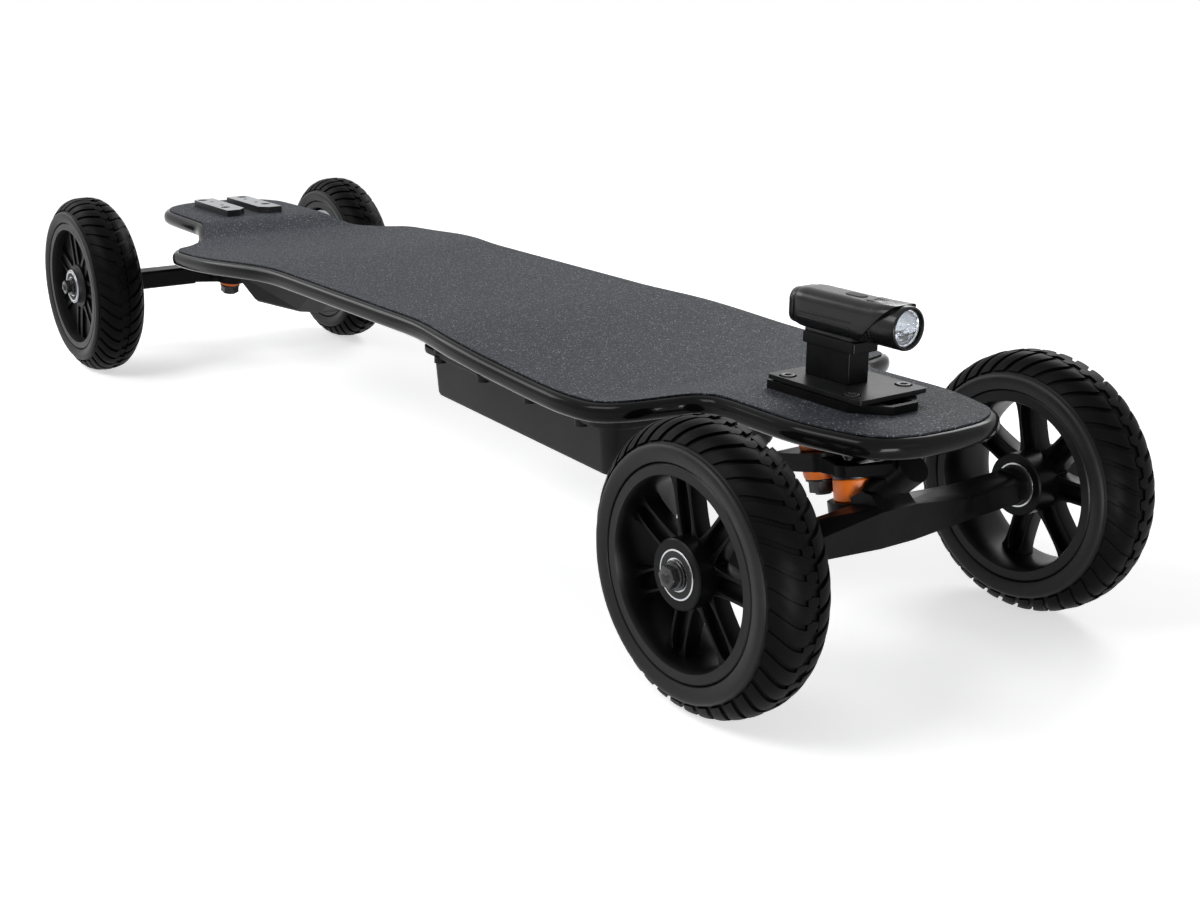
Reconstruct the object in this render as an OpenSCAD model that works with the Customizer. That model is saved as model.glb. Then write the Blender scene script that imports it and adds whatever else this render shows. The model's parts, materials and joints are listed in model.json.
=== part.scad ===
// Electric mountainboard. X points to the nose, Y to the left, Z up.
// The origin is on the ground, midway between the axles.

/* [Layout] */
// Distance between the centres of the left and right tyres
track = 264; // [250:1:290]
// Height of the deck's underside above the axles
truck_h = 53.5; // [50:0.5:58]

/* [Deck] */
// Overall length of the deck
deck_len = 994; // [980:1:1030]
// Length of the nose in front of the front axle
nose_len = 52.5; // [46:0.5:58]
// Length of the tail behind the rear axle
tail_len = 24.5; // [20:0.5:52]
// Width at the waist, in the middle
waist_w = 218; // [210:1:230]
// Width at the widest part of the foot platforms
platform_w = 248; // [240:1:256]
// Width of the necks between the wheels
neck_w = 132; // [124:1:136]
// Sag of the front foot platform below the waist
front_sag = 6.5; // [3:0.5:8]
// Sag of the rear foot platform below the waist
rear_sag = 9; // [3:0.5:10]
// Thickness of the deck
deck_t = 12.5; // [10:0.5:14]
// Radius of the rounded deck edge
edge_r = 5; // [3:0.5:6]
// Bare border between the grip and the deck's edge
grip_border = 5.5; // [5:0.5:10]
// Thickness of the grip tape
grip_t = 1; // [0.6:0.1:1.6]

/* [Wheels] */
// Outer diameter of a tyre
tyre_d = 165; // [160:1:170]
// Width of a tyre
tyre_w = 48; // [45:1:50]
// Height of a tyre between its rim and its tread
tyre_section = 22.3; // [20:0.1:24]
// Width of the rim
rim_w = 43; // [42:0.5:44]
// Height of the rim's edge
rim_edge = 6.5; // [5:0.1:8]
// Lugs along each shoulder of the tyre
lugs = 40; // [24:1:44]
// Width of the grooves between the lugs
groove_w = 4.6; // [3:0.1:5.5]
// Depth of the grooves between the lugs
groove_depth = 2.2; // [1:0.2:4]
// Angle by which the grooves sweep back towards the shoulders
groove_sweep = 15; // [0:1:25]
// Pairs of spokes in a rim
spoke_pairs = 7; // [5:1:8]
// Width of one spoke
spoke_w = 3; // [2.4:0.2:5]
// Distance between the two spokes of a pair
spoke_spread = 11.5; // [9:0.5:13]
// Diameter of a front hub
hub_d = 39.4; // [36:0.2:42]

/* [Axles and bearings] */
// Axle diameter
axle_d = 12; // [10:0.5:12]
// Outer diameter of the wheel bearings
bearing_d = 28; // [26:1:30]
// Width of the wheel bearings
bearing_w = 8; // [7:0.5:9]
// Radial running clearance between axle and bearing
run_clear = 0.05; // [0.03:0.01:0.08]
// Gap between faces that turn against each other
face_gap = 0.3; // [0.2:0.05:0.4]
// Size of the axle nuts across their flats
nut_af = 17; // [16:0.5:20]
// Length of the axle beyond its nut
thread_out = 1.5; // [1:0.5:5]

/* [Trucks] */
// Distance from the axle back to the centre of the truck bolts
mount_inset = 36.5; // [34:0.5:40]
// Bolt spacing along the board
bolt_x = 53; // [50:0.5:54]
// Bolt spacing across the board
bolt_y = 41.3; // [41:0.1:42]
// Diameter of the truck bolts
bolt_d = 5; // [4.5:0.5:5.5]
// Thickness of the riser pads
riser_t = 2; // [1:0.5:4]
// Thickness of a baseplate
base_t = 8; // [7:0.5:9]
// Tilt of both kingpins
kingpin_tilt = 13; // [10:1:16]
// Diameter of the kingpins
kingpin_d = 10; // [9:0.5:10]
// Diameter of the openings that the kingpins pass
ring_hole_d = 16; // [15.5:0.5:17]
// Height of the large bushings
bushing_h = 13.5; // [12:0.5:14]
// Diameter of the large bushings
bushing_d = 28; // [26:1:29]
// Height of the small bushings
small_bushing_h = 6.5; // [6:0.5:8]
// Thickness of the bushing washers
washer_t = 1.4; // [1:0.1:2]
// Thickness of the ring in the link
link_ring_t = 11; // [10:0.5:12]
// Thickness of the ring in the hanger
hanger_ring_t = 12; // [11:0.5:13]
// Radial clearance of the pivot noses in their cups
pivot_clear = 0.4; // [0.3:0.05:0.5]

/* [Battery and controller boxes] */
// Height of the battery box below the deck
battery_h = 60.5; // [52:0.5:64]
// Rear end of the battery box
battery_x0 = 50; // [45:1:60]
// Front end of the battery box
battery_x1 = 291; // [286:1:296]
// Half width of the battery box's bottom at its rear
battery_w0 = 57; // [56:1:60]
// Half width of the battery box's bottom at its front
battery_w1 = 71; // [68:1:74]
// Height of the battery box's lid
lid_h = 24; // [20:1:26]
// Outward lean of the tub's walls from bottom to top
battery_draft = 3; // [1:0.5:4]
// Width of the flange round the parting line
flange_w = 7; // [6.5:0.5:9]
// Thickness of each half of the flange
flange_t = 3; // [2.5:0.5:4]
// Wall thickness of the boxes
wall_t = 2.5; // [2:0.25:3]
// Corner radius of the boxes
box_r = 10; // [8:1:12]
// Height of the controller box below the deck
esc_h = 34; // [28:0.5:36]

/* [Battery cells] */
// Diameter of a cell
cell_d = 21.2; // [18.3:0.1:21.2]
// Length of a cell
cell_l = 70; // [65:0.5:70]

/* [Headlight] */
// Diameter of the light's head
head_d = 27; // [25:0.5:28]
// Height of the light's axis above the grip
light_rise = 48; // [46:0.5:51]
// Length of the light
light_l = 88; // [84:1:98]
// Distance from the front axle back to the rear end of the light
light_back = 77; // [74:1:82]
// Width of the light's body
light_w = 27; // [25:0.5:28]
// Height of the light's body
light_h = 24; // [23:0.5:25]
// Length of the mounting plate
plate_l = 77; // [74:1:80]
// Width of the mounting plate
plate_w = 54; // [52:1:58]
// Thickness of the mounting plate
plate_t = 2.8; // [2.4:0.2:3.4]
// Thickness of the block under the plate
block_t = 5; // [4.5:0.5:6]

/* [Rear rails] */
// Length of the accessory rails
rail_l = 80; // [76:1:84]
// Width of one rail
rail_w = 20.6; // [19:0.2:21]
// Gap between the rails
rail_gap = 14.6; // [14:0.2:16]
// Height of the rails
rail_h = 6; // [5:0.5:8]
// Spacing of the tapped holes along a rail
rail_hole_x = 24; // [20:1:26]
// Diameter of the tapped holes
rail_hole_d = 4.2; // [3.3:0.1:5]

/* [Controls] */
// Travel of the power button
power_travel = 1.2; // [0.8:0.1:1.6]
// Diameter of the power button
power_d = 12; // [10:0.5:13]
// Travel of the headlight's button
key_travel = 0.8; // [0.5:0.1:1]
// Bore of the charging socket
socket_bore = 8; // [6:0.5:9]
// Gap round a button
button_gap = 0.3; // [0.2:0.05:0.4]

/* [Hidden] */

charcoal = [0.22, 0.22, 0.225];
black = [0.08, 0.08, 0.085];
rubber = [0.12, 0.12, 0.125];
orange = [0.93, 0.42, 0.12];
silver = [0.75, 0.75, 0.77];

wheelbase = deck_len - nose_len - tail_len;
axle_z = tyre_d / 2;
axle_x = wheelbase / 2;
axle_r = axle_d / 2 - run_clear;
deck_z = axle_z + truck_h;
deck_top = deck_z + deck_t;
grip_top = deck_top + grip_t;
seat_gap = 0.2;
// Bedding gap between curved faces that lie on each other
bed_gap = 0.12;
rim_d = tyre_d - 2 * tyre_section;
rim_open_d = rim_d - 2 * rim_edge;
battery_z = deck_z - battery_h;
battery_split_z = deck_z - lid_h;
esc_z = deck_z - esc_h;
light_z = grip_top + light_rise;
light_x0 = axle_x - light_back;
light_x1 = light_x0 + light_l;

// Points that ends and platforms of the outline depend on
nose_x = axle_x + nose_len;
tail_x = axle_x + tail_len;
well_x = axle_x - 90;
waist = waist_w / 2;
platform = platform_w / 2;
neck = neck_w / 2;

// Half outlines from the middle of the board to its nose and to its tail
front_half = [
    [-60, waist], [0, waist], [well_x * 0.16, waist], [well_x * 0.3, waist + 0.5],
    [well_x * 0.435, platform - 7.5], [well_x * 0.54, platform - 4.5], [well_x * 0.65, platform - 3],
    [well_x * 0.76, platform - 1], [well_x * 0.83, platform], [well_x - 38, platform - 3],
    [well_x - 22, platform - 9.5], [well_x - 11, platform - 20], [well_x - 4.5, platform - 34],
    [well_x + 0.5, neck + 10], [well_x + 8, neck + 2.5], [well_x + 22, neck - 0.5],
    [well_x + 62, neck], [well_x + 82, neck - 1],
    [nose_x - 38, neck - 6], [nose_x - 17, neck - 14],
    [nose_x - 5, neck - 31], [nose_x, 12], [nose_x, -12]
];
rear_half = [
    [-60, waist], [0, waist], [well_x * 0.217, waist], [well_x * 0.326, waist + 1.2],
    [well_x * 0.434, platform - 6], [well_x * 0.543, platform], [well_x * 0.65, platform + 1],
    [well_x * 0.711, platform + 0.5], [well_x * 0.75, platform - 0.5], [well_x - 84.5, platform - 3],
    [well_x - 76, platform - 8.5], [well_x - 71.5, platform - 16], [well_x - 67, platform - 23],
    [well_x - 60, platform - 30], [well_x - 50, neck + 18.5], [well_x - 34, neck + 9],
    [well_x - 11, neck + 0.5], [well_x + 8, neck - 0.5], [well_x + 40, neck - 1],
    [tail_x - 44, neck - 2.5], [tail_x - 30, neck - 7], [tail_x - 17, neck - 16],
    [tail_x - 6, neck - 32], [tail_x, 12], [tail_x, -12]
];
curve_steps = 3;

function spline(a, b, c, d, t) =
    0.5 * ((2 * b) + (c - a) * t + (2 * a - 5 * b + 4 * c - d) * t * t
        + (3 * b - a - 3 * c + d) * t * t * t);
function half_line(pts) = [
    for (i = [1:len(pts) - 3], k = [0:curve_steps - 1])
        spline(pts[i - 1], pts[i], pts[i + 1], pts[i + 2], k / curve_steps)
];
front_pts = half_line(front_half);
rear_pts = half_line(rear_half);
last_front = len(front_pts) - 1;
last_rear = len(rear_pts) - 1;
// The whole outline, anticlockwise from the tip of the tail
outline = concat(
    [[-tail_x, 0]],
    [for (i = [last_rear:-1:1]) [-rear_pts[i][0], -rear_pts[i][1]]],
    [for (i = [0:last_front]) [front_pts[i][0], -front_pts[i][1]]],
    [[nose_x, 0]],
    [for (i = [last_front:-1:0]) [front_pts[i][0], front_pts[i][1]]],
    [for (i = [1:last_rear]) [-rear_pts[i][0], rear_pts[i][1]]]
);
outline_n = len(outline);
nose_i = outline_n / 2;

// Height of the deck relative to its waist: the platforms sag between waist and necks
function eased(t) = (1 - cos(180 * max(0, min(1, t)))) / 2;
function sag(x) =
    let (a = abs(x), depth = x > 0 ? front_sag : rear_sag,
         low = well_x * (x > 0 ? 0.82 : 0.81), rise = well_x - (x > 0 ? 44 : 56),
         neck_x = well_x + (x > 0 ? 13 : -6))
    -depth * eased((a - well_x * 0.3) / (low - well_x * 0.3)) * (1 - eased((a - rise) / (neck_x - rise)));
function on_deck(pts, z) = [for (p = pts) [p[0], p[1], z + sag(p[0])]];

// Solid through a stack of rings with equal numbers of points
module loft(rings) {
    n = len(rings[0]);
    last = len(rings) - 1;
    sides = [for (k = [0:last - 1], i = [0:n - 1])
        each let (a = k * n + i, b = k * n + (i + 1) % n) [[a, a + n, b], [b, a + n, b + n]]];
    polyhedron([for (r = rings) each r], concat(
        [[for (i = [0:n - 1]) i]], sides, [[for (i = [n - 1:-1:0]) last * n + i]]
    ), convexity = 6);
}
// The same for rings that follow the deck's sag, with caps made of strips across the board
module deck_loft(rings) {
    n = outline_n;
    last = len(rings) - 1;
    sides = [for (k = [0:last - 1], i = [0:n - 1])
        each let (a = k * n + i, b = k * n + (i + 1) % n) [[a, a + n, b], [b, a + n, b + n]]];
    strips = concat([[0, 1, n - 1]], [for (i = [1:nose_i - 2]) [i, i + 1, n - i - 1, n - i]],
        [[nose_i - 1, nose_i, nose_i + 1]]);
    polyhedron([for (r = rings) each r], concat(
        strips, sides, [for (f = strips) [for (k = [len(f) - 1:-1:0]) last * n + f[k]]]
    ), convexity = 10);
}
// Everything above the deck's underside, lowered by drop
module over_deck(x0, x1, drop) {
    steps = 16;
    rotate([90, 0, 0]) linear_extrude(height = platform_w, center = true) polygon(concat(
        [for (i = [0:steps]) let (x = x0 + (x1 - x0) * i / steps) [x, deck_z + sag(x) - drop]],
        [[x1, deck_top + 10], [x0, deck_top + 10]]
    ));
}
function lifted(pts, z) = [for (p = pts) [p[0], p[1], z]];
function arc(c, r, a0, a1, n) =
    [for (i = [0:n]) let (a = a0 + (a1 - a0) * i / n) [c[0] + r * cos(a), c[1] + r * sin(a)]];

function unit2(v) = v / norm(v);
function inward(i) =
    let (t = unit2(outline[(i + 1) % outline_n] - outline[(i + outline_n - 1) % outline_n]))
    [-t[1], t[0]];
function inset(d) = [for (i = [0:outline_n - 1]) outline[i] + d * inward(i)];

// Places of the truck bolts, relative to the axle, towards the board's middle
bolt_spots = [for (sx = [-1, 1], sy = [-1, 1]) [-mount_inset + sx * bolt_x / 2, sy * bolt_y / 2]];

base_bottom = deck_z - riser_t - base_t;
nut_h = 7;
kingpin_nut_af = 15;

// Inner kingpin: centre of the link's ring, relative to the axle
inner_x = -54;
inner_z = base_bottom - 19.5;
// Outer kingpin: centre of the hanger's ring, relative to the axle
outer_x = -19.5;
outer_z = axle_z + 1.5;
// Ends of the two pivot noses
inner_cup = [-17.1, base_bottom + 2.6];
outer_cup = [15, axle_z + 32.5];
inner_angle = atan2(inner_cup[1] - inner_z, inner_cup[0] - inner_x);
outer_angle = atan2(outer_cup[1] - outer_z, outer_cup[0] - outer_x);
inner_reach = norm([inner_cup[0] - inner_x, inner_cup[1] - inner_z]);
outer_reach = norm([outer_cup[0] - outer_x, outer_cup[1] - outer_z]);
inner_nose_r = 5;
outer_nose_r = 6;
cup_wall = 3.5;

wheel_in = track / 2 - rim_w / 2;
hub_in = track / 2 - 16.8;
hub_out = 21.2;

module at_front() {
    translate([axle_x, 0, 0]) children();
}
module at_rear() {
    rotate([0, 0, 180]) translate([axle_x, 0, 0]) children();
}
module inner_pin_frame() {
    translate([inner_x, 0, inner_z]) rotate([0, -kingpin_tilt, 0]) children();
}
module outer_pin_frame() {
    translate([outer_x, 0, outer_z]) rotate([0, -kingpin_tilt, 0]) children();
}
// Frames whose Z axis runs along a pivot axis, from the ring towards the cup
module inner_pivot_frame() {
    translate([inner_x, 0, inner_z]) rotate([0, 90 - inner_angle, 0]) children();
}
module outer_pivot_frame() {
    translate([outer_x, 0, outer_z]) rotate([0, 90 - outer_angle, 0]) children();
}
module disc(r, z0, z1, n = 64) {
    translate([0, 0, z0]) cylinder(h = z1 - z0, r = r, $fn = n);
}
module hex(af, z0, z1) {
    translate([0, 0, z0]) cylinder(h = z1 - z0, r = af / 2 / cos(30), $fn = 6);
}
// Flat plate with four rounded corners, centred in X and Y
module rounded_plate(l, w, r, z0, z1) {
    translate([0, 0, z0]) linear_extrude(height = z1 - z0) rounded_rect(l, w, r);
}
module rounded_rect(l, w, r) {
    square([l - 2 * r, w], center = true);
    square([l, w - 2 * r], center = true);
    for (sx = [-1, 1], sy = [-1, 1])
        translate([sx * (l / 2 - r), sy * (w / 2 - r)]) circle(r = r, $fn = 48);
}

// Deck
// A slab with the outline's shape and a rounded edge, from stacked rings
module deck_slab() {
    turns = [0, 30, 60, 90];
    deck_loft(concat(
        [for (a = turns) on_deck(inset(edge_r * (1 - sin(a))), deck_z + edge_r * (1 - cos(a)))],
        [for (a = turns) on_deck(inset(edge_r * (1 - cos(a))), deck_top - edge_r * (1 - sin(a)))]
    ));
}
module bolt_holes(z0, z1) {
    for (side = [0, 180])
        rotate([0, 0, side]) translate([axle_x, 0, 0])
            for (p = bolt_spots) translate([p[0], p[1], 0]) disc(bolt_d / 2 + seat_gap, z0, z1, 32);
}
module deck_board() {
    color(black) difference() {
        deck_slab();
        bolt_holes(deck_z - 1, deck_top + 1);
    }
}
module grip_tape() {
    color([0.2, 0.21, 0.24]) difference() {
        deck_loft([for (z = [deck_top + bed_gap, grip_top]) on_deck(inset(grip_border), z)]);
        bolt_holes(deck_top - 1, grip_top + 1);
    }
}
module riser_pads() {
    color(rubber) for (side = [0, 180])
        rotate([0, 0, side]) translate([axle_x - mount_inset, 0, 0]) difference() {
            rounded_plate(bolt_x + 24, bolt_y + 16, 6, deck_z - riser_t, deck_z);
            for (p = bolt_spots)
                translate([p[0] + mount_inset, p[1], 0])
                    disc(bolt_d / 2 + seat_gap, deck_z - riser_t - 1, deck_z + 1, 32);
        }
}
bolt_nut_h = 4.5;
bolt_head_h = 3.5;
module truck_bolt(head_z) {
    disc(bolt_d / 2, base_bottom - bolt_nut_h - 1.5, head_z, 32);
    disc(bolt_d * 0.85, head_z, head_z + bolt_head_h, 32);
    difference() {
        hex(8, base_bottom - bolt_nut_h, base_bottom);
        disc(bolt_d / 2 - 0.2, base_bottom - bolt_nut_h - 1, base_bottom + 1, 32);
    }
}
module truck_bolts() {
    color(silver * 0.5) {
        at_front() for (p = bolt_spots) translate([p[0], p[1], 0]) truck_bolt(neck_top);
        at_rear() for (p = bolt_spots)
            translate([p[0], p[1], 0]) truck_bolt(grip_top + rail_h - bolt_head_h - 0.5);
    }
}

// Battery box
// Outline of the tapered box in plan, grown outwards by d
battery_slant = atan((battery_w1 - battery_w0) / (battery_x1 - battery_x0));
function battery_ring(d) =
    let (r = box_r + d, x0 = battery_x0 + box_r, x1 = battery_x1 - box_r,
         w0 = battery_w0 - box_r, w1 = battery_w1 - box_r, a = battery_slant)
    concat(arc([x0, -w0], r, 180, 270 - a, 6), arc([x1, -w1], r, 270 - a, 360, 6),
        arc([x1, w1], r, 0, 90 + a, 6), arc([x0, w0], r, 90 + a, 180, 6));
module battery_shape(stations) {
    loft([for (s = stations) lifted(battery_ring(s[0]), s[1])]);
}
flange_screws = [for (k = [0:3], s = [-1, 1])
    let (x = battery_x0 + 24 + k * 64,
         t = (x - battery_x0) / (battery_x1 - battery_x0))
    [x, s * (battery_w0 + (battery_w1 - battery_w0) * t + battery_draft + flange_w / 2 + 0.5)]];
screw_d = 3;
flange_d = battery_draft + flange_w;
module battery_tub() {
    z0 = battery_z;
    z1 = battery_split_z;
    lean = battery_draft / (z1 - z0);
    color(charcoal) difference() {
        union() {
            battery_shape([[-3, z0], [-1, z0 + 0.8], [0.2, z0 + 3], [lean * (z1 - z0), z1]]);
            battery_shape([[flange_d - 1.6, z1 - flange_t], [flange_d - 0.4, z1 - flange_t + 0.6],
                [flange_d, z1 - flange_t + 1.6], [flange_d, z1]]);
            for (p = flange_screws)
                translate([p[0], p[1], 0]) disc(4.4, z1 - flange_t - 3, z1 - 1, 32);
        }
        battery_shape([[-wall_t, z0 + wall_t], [battery_draft - wall_t, z1 + 1]]);
        for (p = flange_screws) translate([p[0], p[1], 0]) {
            disc(screw_d / 2 + seat_gap, z0, z1 + 1, 32);
            disc(3.1, z0, z1 - flange_t, 32);
        }
    }
}
module battery_lid() {
    z0 = battery_split_z;
    color(charcoal) difference() {
        union() {
            difference() {
                battery_shape([[battery_draft, z0], [battery_draft, deck_z]]);
                over_deck(battery_x0 - 20, battery_x1 + 20, bed_gap);
            }
            battery_shape([[flange_d, z0], [flange_d, z0 + flange_t - 1],
                [flange_d - 1, z0 + flange_t]]);
            for (p = flange_screws)
                translate([p[0], p[1], 0]) disc(4.4, z0 + 1, z0 + flange_t + 3, 32);
        }
        difference() {
            battery_shape([[battery_draft - wall_t, z0 - 1], [battery_draft - wall_t, deck_z]]);
            over_deck(battery_x0 - 20, battery_x1 + 20, wall_t);
        }
        for (p = flange_screws)
            translate([p[0], p[1], 0])
                disc(screw_d / 2 + seat_gap, z0 - 1, z0 + flange_t + 1.5, 32);
    }
}
cell_gap = 0.25;
cell_pitch = cell_d + cell_gap;
cell_rows = 4;
cell_floor = battery_z + wall_t + cell_gap;
cells_top = cell_floor + 2 * cell_pitch;
module battery_cells() {
    run = 3 * cell_l + 2 * 1;
    x_start = (battery_x0 + battery_x1) / 2 - run / 2 + 6;
    color([0.2, 0.45, 0.55])
        for (ix = [0:2], iy = [0:cell_rows - 1], iz = [0, 1])
            translate([x_start + ix * (cell_l + 1), (iy - (cell_rows - 1) / 2) * cell_pitch,
                cell_floor + cell_d / 2 + iz * cell_pitch])
                rotate([0, 90, 0]) cylinder(h = cell_l, d = cell_d, $fn = 48);
}
module battery_board() {
    board_x = (battery_x0 + battery_x1) / 2;
    board_l = 96;
    board_w = 62;
    board_t = 1.6;
    switch_h = 4;
    plug_h = 5;
    top = cells_top + board_t;
    color([0.1, 0.35, 0.2]) {
        translate([board_x, 0, 0]) rounded_plate(board_l, board_w, 3, cells_top, top);
        for (k = [-2:2])
            translate([board_x + k * board_l / 6, -board_w / 5, top + switch_h / 2])
                cube([9, 14, switch_h], center = true);
        translate([board_x, board_w * 0.3, top + plug_h / 2])
            cube([board_l * 0.73, 10, plug_h], center = true);
    }
}
module box_screws() {
    color(silver * 0.6) {
        for (p = flange_screws) translate([p[0], p[1], 0]) {
            disc(screw_d / 2, battery_split_z - flange_t, battery_split_z + flange_t + 1, 32);
            disc(2.8, battery_split_z - flange_t - 2, battery_split_z - flange_t, 32);
        }
        for (p = esc_screws) translate([p[0], p[1], 0]) {
            disc(screw_d / 2, esc_lip(p[0]) - 1, esc_lip(p[0]) + 5.6, 32);
            disc(2.8, esc_lip(p[0]) - 2, esc_lip(p[0]), 32);
        }
    }
}

// Controller box
esc_top_x0 = -267;
esc_bottom_x0 = -229;
esc_bottom_x1 = -140;
esc_top_x1 = -108;
esc_w0 = 77;
esc_w1 = 66;
// Seat of the screw heads below the deck
function esc_lip(x) = deck_z + sag(x) - 6;
esc_screws = [
    for (p = [[esc_top_x0 + 13, esc_w0 - 27], [esc_top_x1 - 10, esc_w1 - 22]], s = [-1, 1]) [p[0], s * p[1]]
];
// Plan of the box between two stations, with cut corners
function esc_plan(x0, x1, w0, w1, cut, d) = [
    [x0 - d, -(w0 - cut + d)], [x0 + cut, -(w0 + d)], [x1 - cut, -(w1 + d)], [x1 + d, -(w1 - cut + d)],
    [x1 + d, w1 - cut + d], [x1 - cut, w1 + d], [x0 + cut, w0 + d], [x0 - d, w0 - cut + d]
];
esc_shoulder_z = deck_z - 13;
module esc_shape(d, z0, z1) {
    top = esc_plan(esc_top_x0, esc_top_x1, esc_w0 + 3, esc_w1 + 3, 16, d);
    loft([
        lifted(esc_plan(esc_bottom_x0 + 2, esc_bottom_x1 - 2, esc_w0 - 2, esc_w1 - 2, 14, d), z0),
        lifted(esc_plan(esc_bottom_x0, esc_bottom_x1, esc_w0, esc_w1, 14, d), z0 + 2),
        lifted(top, esc_shoulder_z + d), lifted(top, z1)
    ]);
}
// The socket and the button sit in short bosses on the left wall
control_y = esc_w1 + 10;
socket_x = -150;
power_x = -186;
power_y = esc_w1 + 14;
control_z = deck_z - 16;
module along_left(x) {
    translate([x, 0, control_z]) rotate([-90, 0, 0]) children();
}
socket_r = 7;
module controller_cover() {
    color(charcoal) difference() {
        union() {
            difference() {
                esc_shape(0, esc_z, deck_z);
                over_deck(esc_top_x0 - 20, esc_top_x1 + 20, bed_gap);
            }
            along_left(socket_x) disc(socket_r + 3, esc_w1 - 12, control_y);
            along_left(power_x) disc(power_d / 2 + 3, esc_w1 - 12, power_y);
        }
        difference() {
            esc_shape(-wall_t, esc_z + wall_t, deck_z);
            over_deck(esc_top_x0 - 20, esc_top_x1 + 20, wall_t);
            along_left(socket_x) disc(socket_r + 3, esc_w1 - 12, control_y);
            along_left(power_x) disc(power_d / 2 + 3, esc_w1 - 12, power_y);
        }
        along_left(socket_x) disc(socket_r + seat_gap, esc_w1 - 30, control_y + 1);
        along_left(power_x) disc(power_d / 2 + button_gap, esc_w1 - 30, power_y + 1);
        for (p = esc_screws) translate([p[0], p[1], 0]) {
            disc(screw_d / 2 + seat_gap, esc_z - 1, deck_z + 1, 32);
            disc(4, esc_z - 1, esc_lip(p[0]), 32);
        }
    }
}
module controller_board() {
    floor_z = esc_z + wall_t + cell_gap;
    case_x = (esc_bottom_x0 + esc_bottom_x1) / 2;
    case_l = 62;
    case_w = 96;
    case_h = 8;
    color([0.55, 0.56, 0.58]) {
        translate([case_x, 0, 0]) rounded_plate(case_l, case_w, 3, floor_z, floor_z + case_h);
        translate([case_x, 0, 0])
            rounded_plate(case_l - 6, case_w - 6, 3, floor_z + case_h, floor_z + case_h + 2);
        for (k = [-1.5:1.5])
            translate([case_x, k * case_w / 4.4, 0])
                disc(6, floor_z + case_h + 2, floor_z + case_h + 10, 32);
    }
}
cap_hinge_z = control_z + socket_r + 4.5;
cap_y0 = control_y + 1 + face_gap;
cap_t = 2.5;
module charge_socket() {
    color(black) {
        difference() {
            union() {
                along_left(socket_x) disc(socket_r, control_y - 16, control_y + 1);
                along_left(socket_x) disc(socket_r + 2, control_y, control_y + 1);
                for (s = [-1, 1])
                    translate([socket_x + s * 7, control_y + 0.5, cap_hinge_z - 3.5])
                        cube([3, 1, 10], center = true);
            }
            along_left(socket_x) disc(socket_bore / 2, control_y - 13, control_y + 2);
        }
        for (s = [-1, 1])
            translate([socket_x + s * 7, control_y + 1 + cap_t / 2, cap_hinge_z])
                cube([3, cap_t, 2.6], center = true);
    }
}
module charge_cap() {
    color(rubber) {
        along_left(socket_x) disc(socket_r + 2, cap_y0, cap_y0 + cap_t);
        translate([socket_x, cap_y0 + cap_t / 2, cap_hinge_z - 2.6]) cube([6, cap_t, 4.6], center = true);
        translate([socket_x, cap_y0 + cap_t / 2, cap_hinge_z])
            rotate([0, 90, 0]) cylinder(h = 10, r = cap_t / 2, center = true, $fn = 32);
    }
}
module power_button() {
    color(black * 1.6) {
        along_left(power_x) disc(power_d / 2, power_y - 6, power_y + power_travel + 0.4);
        along_left(power_x) disc(power_d / 2 - 2, power_y - 9, power_y - 6);
    }
}

// Rear accessory rails
rear_mount_x = -(axle_x - mount_inset);
rail_x = rear_mount_x + 7;
rail_y = (rail_gap + rail_w) / 2;
rail_hole_y = 2 * rail_y;
module rear_rail() {
    cut = 8;
    h = rail_l / 2;
    w = rail_w / 2;
    difference() {
        translate([rail_x, rail_y, grip_top]) linear_extrude(height = rail_h)
            polygon([[-h, -w], [h - cut, -w], [h, -w + cut], [h, w], [-h + 3, w], [-h, w - 3]]);
        for (s = [-1, 1]) {
            translate([rear_mount_x + s * rail_hole_x / 2, rail_y, 0])
                disc(rail_hole_d / 2, grip_top - 1, grip_top + rail_h + 1, 32);
            translate([rear_mount_x + s * bolt_x / 2, bolt_y / 2, 0]) {
                disc(bolt_d / 2 + seat_gap, grip_top - 1, grip_top + rail_h + 1, 32);
                disc(bolt_d * 0.85 + seat_gap, grip_top + rail_h - bolt_head_h - 0.5,
                    grip_top + rail_h + 1, 32);
            }
        }
    }
}
module rear_rails() {
    color(silver) {
        rear_rail();
        mirror([0, 1, 0]) rear_rail();
    }
}

// Headlight mount
plate_x = axle_x - mount_inset + 1;
neck_t = 1;
neck_top = grip_top + block_t + neck_t;
plate_top = neck_top + plate_t;
post_l = 36;
post_w = 17;
slab_l = 43;
slab_w = 20.5;
slab_t = 6.5;
slab_top = light_z - light_h / 2 - 1.5;
post_x = plate_x - 8.5;
module light_bolt_holes(r, z0, z1) {
    at_front() for (p = bolt_spots) translate([p[0], p[1], 0]) disc(r, z0, z1, 32);
}
module light_block() {
    x0 = -plate_l / 2;
    x1 = plate_l / 2 - 10;
    tip = plate_l / 2 + 9;
    w = plate_w / 2;
    color(black) difference() {
        union() {
            translate([plate_x, 0, grip_top]) linear_extrude(height = block_t)
                polygon([[x0, -w], [x1, -w], [tip, -10], [tip, 10], [x1, w], [x0, w]]);
            translate([plate_x, 0, 0])
                rounded_plate(plate_l - 4, plate_w - 4, 2, grip_top + block_t, neck_top);
        }
        light_bolt_holes(bolt_d / 2 + seat_gap, grip_top - 1, neck_top + 1);
        // slot under the front end of the plate
        translate([plate_x + tip - 10, 0, 0]) rounded_plate(13, 19, 1.5, grip_top + 1.5, neck_top + 1);
    }
}
module light_plate() {
    color(black) difference() {
        translate([plate_x, 0, 0]) rounded_plate(plate_l, plate_w, 2, neck_top, plate_top);
        light_bolt_holes(bolt_d * 0.85 + 1, neck_top - 1, plate_top + 1);
    }
}
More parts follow.
